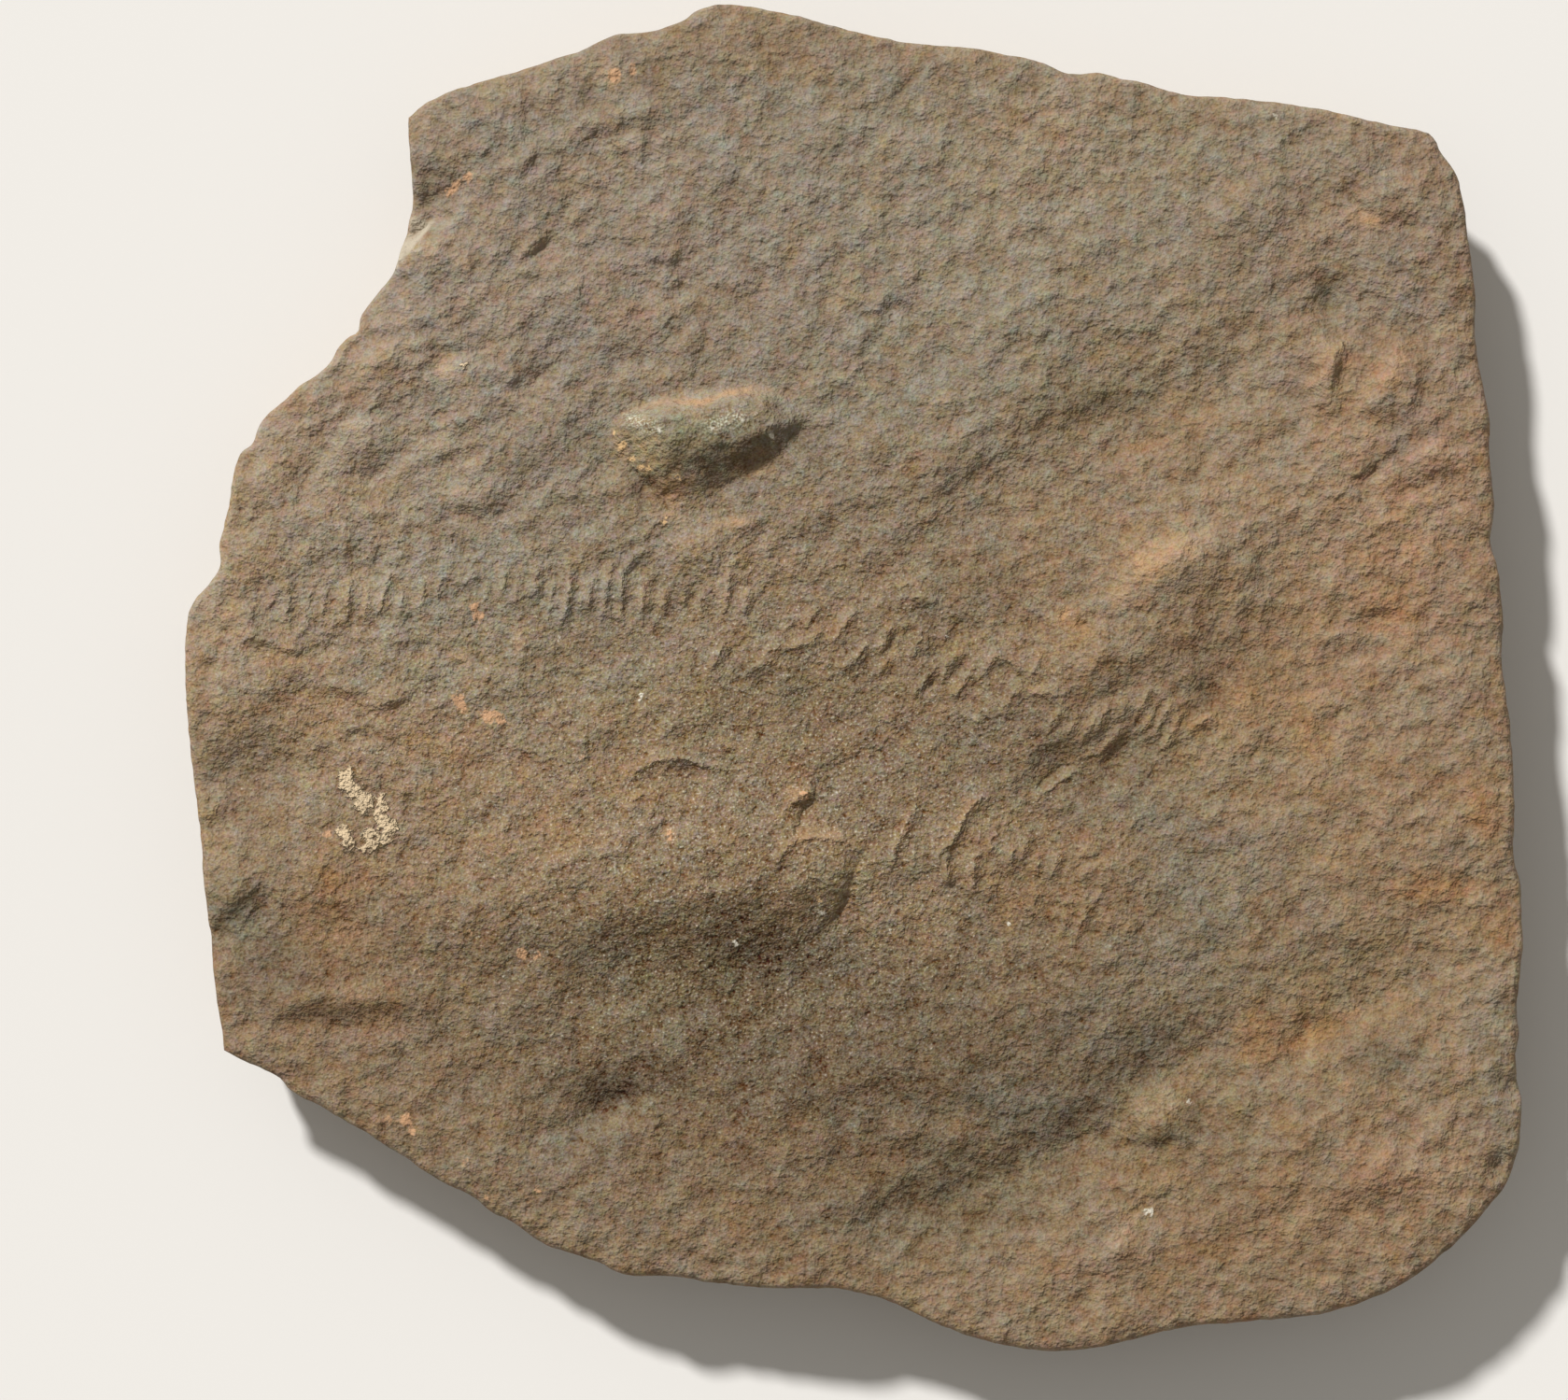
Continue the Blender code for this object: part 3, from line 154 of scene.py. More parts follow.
def outline(across, up):
    """The slab's outline as one closed loop, anticlockwise from the lower left corner, a little ragged."""
    bottom = along(BOTTOM_EDGE, across)
    right = along(RIGHT_EDGE, up)
    top = along(TOP_EDGE, across)[::-1]
    left = along(LEFT_EDGE, up)[::-1]
    loop = np.concatenate([bottom[:-1], right[:-1], top[:-1], left[:-1]])
    ragged = sum(depth * lumps(*loop.T, 0, size, seed) for size, depth, seed in RAGGED_EDGE)
    return loop + ragged[:, None] * outward(loop)


def fill(loop, across, up):
    """A grid of places inside a loop of four edges, indexed [across, up].

    A place is the blend of the bottom and the top edge, plus the blend of the left and the right
    edge, less the blend of the four corners.
    """
    columns = len(across) - 1
    rows = len(up) - 1
    bottom = loop[:columns + 1]
    right = loop[columns:columns + rows + 1]
    top = loop[columns + rows:2 * columns + rows + 1][::-1]
    left = np.concatenate([loop[2 * columns + rows:], loop[:1]])[::-1]
    u = across[:, None, None]
    v = up[None, :, None]
    edges = (1 - v) * bottom[:, None] + v * top[:, None] + (1 - u) * left[None] + u * right[None]
    low = (1 - u) * bottom[0] + u * bottom[-1]
    high = (1 - u) * top[0] + u * top[-1]
    return edges - (1 - v) * low - v * high


# ---- the ground of the face
# Rolling ground, drawn out along the stone's grain; pimples, which have no direction; and scarps,
# low steps where a film of stone has flaked off. Each row: size, height, seed.
GRAIN_TURN = 32            # degrees from +X to the grain, and how much narrower the ground is across it
GRAIN_STRETCH = 1.6
ROLLS = [(24, 0.42, 11), (10, 0.34, 12), (5.2, 0.22, 13)]
PIMPLES = [(6.0, 0.19, 16), (3.1, 0.27, 14), (1.9, 0.22, 15)]
SCARPS = [(14, 0.12, 17), (6.5, 0.09, 18)]
SCARP_STEEPNESS = 7
PIMPLE_BEND = 2.5          # how far the pimples and scarps are pushed about, and over what distance
PIMPLE_BEND_SIZE = 8
PIMPLE_BEND_CUT = 3        # the height at which that is cut from its lattice of lumps, and its seeds
PIMPLE_BEND_SEEDS = (71, 72)
LATTICE_CUT = 0.37         # where the rest is cut, in sizes, off the lattice's own planes
# Soft swells. Each row of these and of every list of stains below: middle x and y, half-length and
# half-width, turn in degrees from +X, and height.
SWELLS = [
    (41.4, -58.4, 4.8, 3.6, 20, 0.8), (-31, -58.8, 2.8, 2.2, -20, 0.6), (38, 9, 26, 8, 35, 1.7),
    (-14, -25, 26, 8, 5, 1.8), (58, -20, 34, 12, 12, 1.2), (14, -46, 30, 10, 24, 0.4),
    (52, -50, 26, 8, 30, -0.7), (58, -68, 20, 12, 20, 0.9), (18, -82, 18, 8, 10, 0.5),
    (-33.6, -56.8, 5.6, 4.0, 20, -1.8), (-33, -64, 10, 7, 0, 0.9), (-50, -30, 16, 9, 30, 0.5),
    (-20, -41, 24, 7, 8, -0.5), (-80, -2, 9, 7, 20, 0.9), (-78, -12, 9, 5, 25, -0.9),
    (-84, -28, 5, 4, 0, 1.0), (-83, -32.6, 4.2, 1.7, 45, -1.4), (27, 46, 18, 10, 40, 1.0),
    (38, 33, 14, 8, 40, -1.1), (13, 32, 13, 7, 30, 0.6), (21, 22, 10, 6, 35, -0.6),
    (70, 32, 14, 12, 60, 0.8), (74, 62, 10, 8, 20, 0.6), (-52, 66, 10, 9, 0, 0.4),
    (-57.5, 63.5, 3.6, 3.4, 20, -1.1), (0, 66, 30, 14, -8, 0.5), (-56, 40, 22, 12, 40, 0.5),
    (62, 5, 12, 5, 10, -0.8), (31, -13.4, 12, 4.6, 28, -0.65), (-17, 8, 24, 9, -4, -0.5),
    (43, 15, 5, 3.4, 35, 0.6), (32, 3.6, 5, 3, 30, 0.3), (-55, 56, 4, 3, 0, 0.6),
    (-62, 42.6, 4, 3, 40, 0.6), (-66, 32.6, 3, 2.4, 30, 0.5), (-50, 24.6, 3, 2.6, 0, 0.6),
    (-54, 39.6, 3.4, 2.6, 20, 0.5), (3.4, 32, 3, 2.4, 0, 0.6), (-21, 15.6, 6, 3, 5, 0.6),
    (-39, -25.6, 4, 3, 10, 0.5), (78.4, 28.4, 3.6, 3, 0, 0.7), (71, 25.4, 4, 2, 45, -0.5),
    (21.4, 48.4, 3, 2.4, 0, 0.5), (20.4, 75.4, 4, 3, 0, 0.6), (40, -59, 5, 3.4, 10, 0.7),
    (38.6, -76.6, 3.4, 4.6, 60, 0.7), (51, -86, 4, 3, 0, 0.4), (71, -66.6, 5, 3, 10, 0.6),
    (5, -53, 5, 3, 10, 0.6), (-8, -55.6, 3.4, 3, 30, 0.6), (15, -62, 4, 2.6, 20, 0.5),
    (-14, -62, 4, 2.6, 30, 0.5), (-2, -72, 5, 3, 20, 0.6), (47, -33, 5, 3, 20, 0.5),
    (67, -33, 6, 3, 30, 0.6), (60, -62, 5, 3, 20, 0.5), (50, 61, 6, 3, 40, 0.5),
    (30, 57, 4, 3, 10, 0.5), (-25, 61, 5, 3, 20, 0.4), (-48, 75, 6, 3, 20, 0.5),
    (-6, 56, 4, 3, 0, 0.4), (9, 11, 4, 2.6, 20, 0.4), (-70, 21, 5, 3, 40, 0.5),
    (-84, 14, 3.4, 3, 0, 0.6), (-73, -27, 6, 3, 10, 0.5), (-4.4, -25.0, 5.0, 3.6, -10, 1.0),
    (40, 14.6, 6, 3, 35, 0.9), (-55, 65.4, 4.6, 2.6, 30, -1.2), (77.6, 30, 2.4, 1.7, 0, 0.8),
    (70, 62.4, 4.6, 1.3, -25, -0.8), (-81, -12, 6, 4, 45, -0.9), (-21.5, 17.6, 3.4, 1.3, 8, 0.7),
    (-15.5, 20.2, 3.0, 1.1, 12, 0.7), (-57, 57, 2.6, 1.8, 20, 0.7),
    (-66.4, 33.8, 1.7, 1.3, 20, 0.6), (-55, 41, 1.9, 1.4, 20, 0.6), (-63.4, 43, 2.2, 1.6, 40, 0.5),
    (-52, 24.8, 3.0, 1.5, 15, 0.6), (18, 26, 6, 4, 50, -0.7), (35.4, -12, 4, 2.4, 40, -0.45),
    (26, -12.4, 3.4, 2.2, 20, -0.4), (31, -74, 8, 6, 20, 0.7), (67, -66, 7, 3, 0, 0.6),
    (55, -75, 7, 2.6, 10, -0.6), (-65, 26.6, 2.2, 1.6, 0, -0.7), (7, -61, 3, 1.8, 0, 0.6),
]
# Where the random ground is rougher (above zero) or quieter (below): the tracks lie on quiet ground.
ROUGH_GROUND = [
    (-42, 50, 46, 28, 20, 0.25), (62, 20, 26, 60, 0, 0.15), (-50, 11, 40, 5, 0, -0.35),
    (10, 2, 28, 7, -20, -0.35), (18, -22, 20, 9, -20, -0.35), (-80, 10, 12, 30, 10, 0.3),
]


def swell(x, y, middle_x, middle_y, half_length, half_width, turn):
    """1 in the middle, falling in a bell curve over its half-length and, across that, its half-width."""
    turn = np.radians(turn)
    lengthways = (x - middle_x) * np.cos(turn) + (y - middle_y) * np.sin(turn)
    crossways = (y - middle_y) * np.cos(turn) - (x - middle_x) * np.sin(turn)
    return np.exp(-(lengthways / half_length) ** 2 - (crossways / half_width) ** 2)


def swells(x, y, rows):
    """The sum of the swells in a list, each times its own last number."""
    return sum(height * swell(x, y, *shape) for *shape, height in rows)


def random_ground(x, y):
    """The height of the random ground: rolls, pimples and scarps, rougher in some places than others."""
    grain = np.radians(GRAIN_TURN)
    lengthways = x * np.cos(grain) + y * np.sin(grain)
    crossways = GRAIN_STRETCH * (y * np.cos(grain) - x * np.sin(grain))
    rough = 1 + swells(x, y, ROUGH_GROUND)
    height = 0
    for size, rise, seed in ROLLS:
        height = height + rough * rise * lumps(lengthways, crossways, LATTICE_CUT * size, size, seed)
    bent_x, bent_y = (
        place + PIMPLE_BEND * lumps(x, y, PIMPLE_BEND_CUT, PIMPLE_BEND_SIZE, seed)
        for place, seed in zip((x, y), PIMPLE_BEND_SEEDS)
    )
    for size, rise, seed in PIMPLES:
        height = height + rough * rise * lumps(bent_x, bent_y, LATTICE_CUT * size, size, seed)
    for size, rise, seed in SCARPS:
        edge = np.tanh(SCARP_STEEPNESS * lumps(bent_x, bent_y, LATTICE_CUT * size, size, seed))
        height = height + rough * rise * edge
    return height


# ---- the broad steps where the bedding breaks off. Each row: a line, the reach to its left and to
# its right, and its height: above zero it is a crest with a steep front, below zero a trough.
STEPS = [
    ([(55, -50), (63, -46.6), (71, -42.8), (83, -37.6)], 5, 2.4, -0.9),
    ([(-8, -75), (8, -71.6), (20, -67.4), (30, -62), (36, -58.6), (41, -54), (47, -49.6), (54, -46)],
     5.5, 14, -1.9),
    ([(-54, -32), (-40, -31), (-28, -31), (-20, -29.4), (-10, -29), (-1, -30)], 12, 8, 1.5),
    ([(-89, -28), (-80, -29), (-70, -30), (-54, -32.4)], 9, 9, 0.45),
    ([(1, -30), (-5, -36), (-12, -43)], 5, 3, -0.7),
    ([(18, -7), (30, -1), (40, 4), (48, 11), (58, 17)], 12, 8, 1.0),
    ([(-45, -60.5), (-39, -60.6), (-35, -58.2), (-32, -57), (-27.5, -57.2)], 4.5, 4, -1.2),
    ([(-81, -43.6), (-70, -43.0), (-62, -43.0), (-55, -43.6)], 3, 1.3, 1.8),
    ([(57, -49), (66, -46.8), (74, -43), (84, -38.6)], 6, 5, -0.8),
    ([(58, -30.6), (70, -29.6), (80, -27.6), (88.6, -27)], 5, 4, -0.45),
    ([(58.5, 36.4), (60.4, 39), (62, 42.6)], 1.7, 1.6, -1.2),
    ([(61.6, 36.4), (63.8, 40.4), (65, 45.4)], 2, 2, 1.4),
    ([(66.4, 38), (68.2, 42), (70.2, 46.4)], 2, 1.5, -1.1),
    ([(69.4, 35), (71.6, 40), (73.6, 46)], 2.2, 2, 1.5),
    ([(66, 26), (71, 29.6), (76, 35.4)], 2, 1.6, -1.0),
    ([(57, 50.6), (66, 48.4), (73, 46.8), (80, 48.4)], 2.5, 2.5, -1.1),
    ([(54, 70), (60, 69.4), (66, 69.4), (69, 71.4)], 4, 1.5, 0.6),
]
STEP_ROUND = 0.5           # how far the crest's top is rounded
STEP_FADE = 0.7            # how blunt the ends of a step are: 0 doesn't taper at all
STEP_TAIL = 2.4            # where a step has died away, in reaches from its line
LINE_STEPS = 4             # straight stretches for each point of a line


def beside(x, y, points, reach):
    """Which places lie near a line through the points, how far from it they are, and how far along it.

    The distance is positive to the left of the line's direction; the way along runs from 0 to 1.
    """
    points = along(points, np.linspace(0, 1, LINE_STEPS * len(points)))
    low = points.min(axis=0) - reach
    high = points.max(axis=0) + reach
    near = (x > low[0]) & (x < high[0]) & (y > low[1]) & (y < high[1])
    place = np.stack([x[near], y[near]], axis=1)
    nearest = np.full(len(place), np.inf)
    share = np.zeros(len(place))
    way = np.linspace(0, 1, len(points))
    for start, end, gone, total in zip(points[:-1], points[1:], way, way[1:]):
        step = end - start
        t = np.clip((place - start) @ step / (step @ step), 0, 1)
        away = place - start - t[:, None] * step
        left = np.sign(step[0] * away[:, 1] - step[1] * away[:, 0])
        distance = np.hypot(*away.T)
        closer = distance < np.abs(nearest)
        nearest[closer] = (distance * np.where(left == 0, 1, left))[closer]
        share[closer] = (gone + t * (total - gone))[closer]
    return near, nearest, share


def taper(share, fade):
    """A parabola that is 0 at both ends of a line and 1 in its middle, raised to the power `fade`."""
    return (1 - (2 * share - 1) ** 2) ** fade


def step(x, y, points, left_reach, right_reach):
    """1 on a line through the points, dying away to each side and tapering to both ends.

    Off the line it is exp(-off / reach - (distance / (STEP_TAIL reach))^4), where off is the
    distance with its first part rounded: hypot(distance, STEP_ROUND) - STEP_ROUND.
    """
    near, distance, share = beside(x, y, points, 3 * max(left_reach, right_reach))
    reach = np.where(distance > 0, left_reach, right_reach)
    height = np.zeros_like(x)
    off = np.hypot(distance, STEP_ROUND) - STEP_ROUND
    fall = np.exp(-off / reach - (distance / (STEP_TAIL * reach)) ** 4)
    height[near] = taper(share, STEP_FADE) * fall
    return height


# ---- the nodule. Each row: a point of its foot, anticlockwise, and how steeply the side that
# starts there rises.
NODULE = [
    (-33.0, 34.6, 1.1), (-33.0, 31.2, 0.6), (-26.4, 24.2, 0.55), (-20.0, 24.4, 0.85),
    (-9.8, 29.8, 0.9), (-5.8, 35.4, 0.7), (-10.6, 39.2, 1.4), (-25.0, 37.8, 1.5),
]
NODULE_CAP = 4.1           # height of its top, the top's slopes along x and y, and its edges' rounding
NODULE_TILT = (-0.06, -0.27)
NODULE_SOFTNESS = 0.14
NODULE_GRAIN = [(2.6, 0.30, 51), (1.3, 0.16, 52)]     # each row: size, height, seed
NODULE_GRAIN_START = 2     # height of the nodule at which its grain is at full strength


def mound(x, y, feet, cap, tilt, softness):
    """A lump's height: the lowest of the planes that rise from its foot lines and of its tilted cap.

    The cap tilts by its two slopes about the middle of the feet. The planes meet in edges rounded
    over about `softness`, and the foot fades out in the same way.
    """
    x_foot, y_foot, steepness = np.array(feet).T
    run_x = np.roll(x_foot, -1) - x_foot
    run_y = np.roll(y_foot, -1) - y_foot
    length = np.hypot(run_x, run_y)
    planes = [cap + tilt[0] * (x - x_foot.mean()) + tilt[1] * (y - y_foot.mean())]
    for k, steep in enumerate(steepness):
        inside = (run_x[k] * (y - y_foot[k]) - run_y[k] * (x - x_foot[k])) / length[k]
        planes.append(steep * inside)
    lowest = -softness * np.log(sum(np.exp(-np.clip(plane, -9, 9) / softness) for plane in planes))
    return softness * np.log1p(np.exp(lowest / softness))


def nodule_height(x, y):
    """The nodule: a mound with its own grain, which starts a little above its foot."""
    height = mound(x, y, NODULE, NODULE_CAP, NODULE_TILT, NODULE_SOFTNESS)
    grain = sum(rise * lumps(x, y, 0, size, seed) for size, rise, seed in NODULE_GRAIN)
    return height + np.clip(height / NODULE_GRAIN_START, 0, 1) * grain


# ---- the two rows of the track: small curved ribs. Each row: a rib's line and its strength. A line
# runs with the rib's steep side on its right.
UPPER_TRACK = [
    ([(-87.2, -19.0), (-86.9, -15.2)], 0.45), ([(-85.9, -19.2), (-85.6, -15.6)], 0.45),
    ([(-84.5, -18.6), (-84.2, -15.2)], 0.35), ([(-81.4, 7.0), (-80.4, 10.2)], 0.40),
    ([(-78.4, 9.2), (-77.6, 12.6)], 0.40), ([(-76.2, 7.4), (-75.8, 13.0)], 0.50),
    ([(-73.6, 6.8), (-73.0, 11.6)], 0.40), ([(-71.3, 8.2), (-70.8, 12.4)], 0.40),
    ([(-68.2, 7.0), (-67.5, 13.6)], 0.55), ([(-65.6, 7.6), (-65.0, 12.2)], 0.40),
    ([(-63.6, 8.4), (-63.0, 11.2), (-61.9, 14.4)], 0.65), ([(-61.0, 7.8), (-60.2, 12.6)], 0.40),
    ([(-58.4, 8.6), (-57.4, 13.0)], 0.40), ([(-56.0, 10.2), (-55.3, 13.8)], 0.40),
    ([(-52.8, 12.2), (-51.4, 13.4), (-50.6, 14.8)], 0.40), ([(-49.6, 9.0), (-49.0, 13.2)], 0.40),
    ([(-47.2, 11.0), (-46.6, 15.0)], 0.40), ([(-45.3, 9.6), (-44.8, 14.0)], 0.40),
    ([(-42.9, 11.2), (-42.2, 15.4)], 0.45), ([(-40.6, 9.0), (-40.2, 13.2)], 0.40),
    ([(-39.5, 6.6), (-38.5, 9.4), (-38.1, 12.2), (-37.9, 15.8)], 0.70),
    ([(-35.6, 8.6), (-35.2, 13.4)], 0.45), ([(-33.6, 8.2), (-33.0, 12.6), (-32.2, 15.8)], 0.50),
    ([(-31.2, 8.0), (-31.0, 11.0), (-30.9, 14.4), (-29.6, 16.0), (-28.0, 17.4)], 0.65),
    ([(-28.4, 8.6), (-28.0, 13.4)], 0.45), ([(-25.5, 8.2), (-25.1, 11.8)], 0.50),
    ([(-23.0, 9.6), (-22.4, 13.0)], 0.45), ([(-20.6, 8.0), (-20.0, 12.4)], 0.45),
    ([(-17.4, 8.2), (-16.8, 11.6), (-16.6, 15.4)], 0.55), ([(-14.6, 8.4), (-14.0, 12.0)], 0.40),
    ([(-19.2, 1.0), (-18.0, 3.2), (-17.2, 4.8)], 0.60),
    ([(-14.8, 0.2), (-12.6, 1.7), (-10.2, 2.3)], 0.45),
    ([(-12.4, 2.6), (-10.6, 3.8), (-8.0, 4.2), (-5.6, 5.0), (-4.3, 7.0)], 0.50),
    ([(-9.8, 5.6), (-8.4, 7.4), (-7.4, 8.8)], 0.40), ([(-6.6, 6.4), (-5.6, 8.2), (-4.6, 9.8)], 0.40),
    ([(-3.3, 4.4), (-1.5, 6.6), (0.5, 9.5)], 0.55), ([(-2.0, 1.0), (0.5, 2.7), (2.5, 5.4)], 0.50),
    ([(2.8, 0.2), (4.4, 1.7), (5.5, 3.1)], 0.45), ([(3.1, 3.0), (4.2, 5.2), (5.5, 7.3)], 0.40),
    ([(5.8, 4.4), (6.8, 6.0), (7.7, 7.6)], 0.40), ([(7.6, 2.4), (8.6, 4.6), (9.2, 7.0)], 0.45),
    ([(9.7, 3.4), (10.4, 5.8)], 0.35), ([(11.8, 4.4), (12.6, 6.0), (12.5, 7.6)], 0.40),
    ([(12.2, 1.4), (13.4, 2.6), (15.2, 3.5)], 0.50), ([(7.9, -2.6), (9.5, -0.4), (11.3, 1.7)], 0.45),
    ([(11.5, -1.0), (12.9, 1.4)], 0.45), ([(13.2, -2.8), (14.8, -0.8), (15.9, 0.8), (16.3, 2.6)], 0.55),
    ([(16.6, -0.8), (17.8, 1.2), (19.3, 3.3)], 0.50),
    ([(18.4, 3.3), (20.2, 2.5), (22.0, 1.8), (23.4, 0.6)], 0.60),
    ([(23.4, -0.4), (24.5, 1.6), (25.5, 3.6)], 0.50),
    ([(20.1, -5.4), (20.9, -3.0), (22.7, -0.6)], 0.45),
    ([(23.6, -2.3), (25.4, -1.9), (27.1, -2.4)], 0.45), ([(16.0, -8.2), (16.8, -4.6)], 0.30),
    ([(16.6, -3.6), (17.8, -5.0), (19.0, -6.3)], 0.50),
    ([(26.0, -7.4), (27.0, -5.6), (27.9, -4.2)], 0.40),
    ([(28.4, -8.4), (29.6, -6.2), (30.6, -4.6)], 0.40),
    ([(30.0, -9.2), (31.5, -7.0), (32.9, -4.4)], 0.50),
    ([(32.0, -8.4), (33.2, -6.0), (34.5, -3.2)], 0.50),
    ([(33.0, -10.5), (34.9, -8.2), (36.1, -6.2)], 0.45), ([(35.6, -5.8), (36.9, -2.6)], 0.45),
    ([(37.5, -6.5), (38.7, -3.8), (39.9, -1.1)], 0.60),
    ([(38.8, -7.4), (40.1, -4.8), (41.3, -2.5)], 0.60),
    ([(40.3, -8.0), (41.6, -5.4), (43.0, -2.9)], 0.60),
    ([(41.4, -10.0), (43.0, -7.0), (44.4, -4.3)], 0.60),
    ([(44.9, -7.4), (46.8, -5.9), (48.9, -4.5)], 0.55),
    ([(24.4, -16.2), (27.0, -14.4), (29.8, -12.6)], 0.50),
]
LOWER_TRACK = [
    ([(-29.8, -13.2), (-27.6, -11.6), (-25.0, -10.9), (-22.4, -11.0), (-19.6, -11.9),
      (-16.6, -12.1)], 0.65),
    ([(-29.6, -18.8), (-29.4, -16.6), (-27.8, -15.4), (-26.0, -15.8)], 0.35),
    ([(-29.4, -19.4), (-27.2, -20.0), (-25.2, -19.0)], 0.35),
    ([(-8.6, -17.4), (-7.2, -16.1), (-5.2, -15.1)], 0.8),
    ([(-10.8, -26.8), (-10.0, -24.2), (-8.6, -22.4), (-6.4, -21.5), (-3.4, -21.5), (-0.8, -22.3),
      (1.0, -23.0)], 0.6),
    ([(-20.8, -28.4), (-20.6, -26.0)], 0.4), ([(-20.4, -28.6), (-18.6, -29.0)], 0.4),
    ([(5.5, -25.6), (5.5, -23.2), (6.3, -21.4), (7.4, -19.6), (8.0, -18.0), (8.6, -16.0)], 0.55),
    ([(11.4, -25.6), (11.5, -23.8), (13.0, -22.2), (14.1, -20.6), (14.8, -18.8), (15.7, -17.2),
      (18.7, -15.7)], 0.65),
    ([(12.9, -27.4), (12.5, -25.6), (12.6, -23.8)], 0.55),
    ([(16.3, -29.0), (16.1, -26.6), (16.4, -24.6), (17.2, -22.8)], 0.55),
    ([(18.0, -29.4), (18.6, -27.4)], 0.45), ([(18.2, -23.6), (19.0, -20.6)], 0.45),
    ([(20.4, -25.8), (21.3, -23.2), (21.7, -21.0)], 0.50),
    ([(22.5, -25.2), (22.9, -23.0), (23.5, -21.0)], 0.55), ([(24.4, -26.6), (25.1, -23.6)], 0.50),
    ([(26.5, -27.0), (27.1, -25.0), (27.8, -23.2)], 0.55),
    ([(24.0, -31.0), (24.6, -28.6)], 0.45), ([(28.2, -34.6), (28.8, -31.4)], 0.50),
    ([(30.2, -27.2), (31.6, -25.8), (33.4, -25.1)], 0.45),
    ([(31.1, -31.8), (31.2, -29.8), (30.5, -27.8)], 0.50), ([(31.7, -31.4), (33.0, -29.2)], 0.50),
    ([(20.2, -28.2), (21.9, -29.0), (23.0, -30.6), (24.6, -31.8), (26.6, -32.3)], 0.45),
    ([(30.1, -35.0), (31.0, -31.8)], 0.50), ([(33.8, -34.8), (34.6, -31.6)], 0.50),
    ([(37.1, -20.6), (38.3, -18.2)], 0.45),
]
TRACK_RISE = 1.1           # height of a rib of full strength
TRACK_WIDTHS = (0.8, 0.6)  # half-width on the gentle left and on the steep right side
TRACK_FADE = 0.4           # how blunt the ends are
# Longer lips, gentle on the left and steep on the right. Each row: a line and its height.
LIPS = [
    ([(57.8, 36.8), (60.6, 38.6), (63.2, 40.6), (65.0, 43.6), (66.4, 47.4)], 0.9),
    ([(66.2, 37.2), (68.2, 41.2), (70.8, 45.0)], 0.7),
    ([(73.0, 33.8), (75.2, 38.4), (76.2, 44.6)], 0.8),
    ([(66.0, 25.4), (69.6, 28.6), (73.0, 31.6), (76.4, 34.8)], 0.7),
    ([(49.4, -58.6), (52.4, -58.0), (54.2, -56.4)], 0.6),
    ([(-82.8, 4.6), (-80.4, 5.4), (-78.2, 4.7), (-76.2, 3.9), (-74.4, 3.6), (-72.8, 4.8)], 0.9),
    ([(-71.2, -0.8), (-68.6, -1.4), (-65.6, -2.0)], 0.9),
    ([(-65.4, -4.4), (-62.2, -3.3), (-59.0, -2.4)], 0.9),
    ([(-69.2, -7.6), (-67.0, -6.6), (-64.0, -6.2)], 0.5),
    ([(-45.6, 66.4), (-43.8, 69.4), (-42.2, 71.8)], 0.9),
    ([(-45.2, 56.2), (-42.4, 58.6), (-40.0, 60.6)], 0.9),
    ([(-40.2, 71.2), (-34.4, 73.6), (-28.0, 75.8), (-21.6, 77.6)], 0.5),
    ([(67.2, 65.4), (68.8, 63.0), (71.0, 61.8), (74.0, 62.8)], 0.8),
    ([(20.6, 60.8), (23.4, 60.3), (28.6, 60.8)], 0.5),
    ([(-44.8, -59.0), (-39.4, -59.5), (-36.8, -60.6)], 0.5),
    ([(-39.6, -58.4), (-36.0, -57.4), (-34.0, -55.6), (-31.4, -55.2), (-28.0, -56.6)], 0.6),
    ([(61.8, 4.4), (66.4, 6.4)], 0.6), ([(66.8, 8.8), (74.0, 9.8)], 0.6),
    ([(-85.0, -34.4), (-81.6, -32.4), (-79.8, -29.4)], 1.1),
    ([(38.6, -61.6), (41.0, -61.8), (44.2, -60.6)], 0.7),
    ([(60.8, -51.8), (63.0, -53.6)], 0.4), ([(77.8, -63.8), (79.6, -60.0), (82.0, -58.6)], 0.7),
    ([(7.6, 10.8), (9.4, 10.5), (11.4, 10.2)], 0.6),
]
LIP_WIDTHS = (2.4, 0.6)
LIP_FADE = 1.0
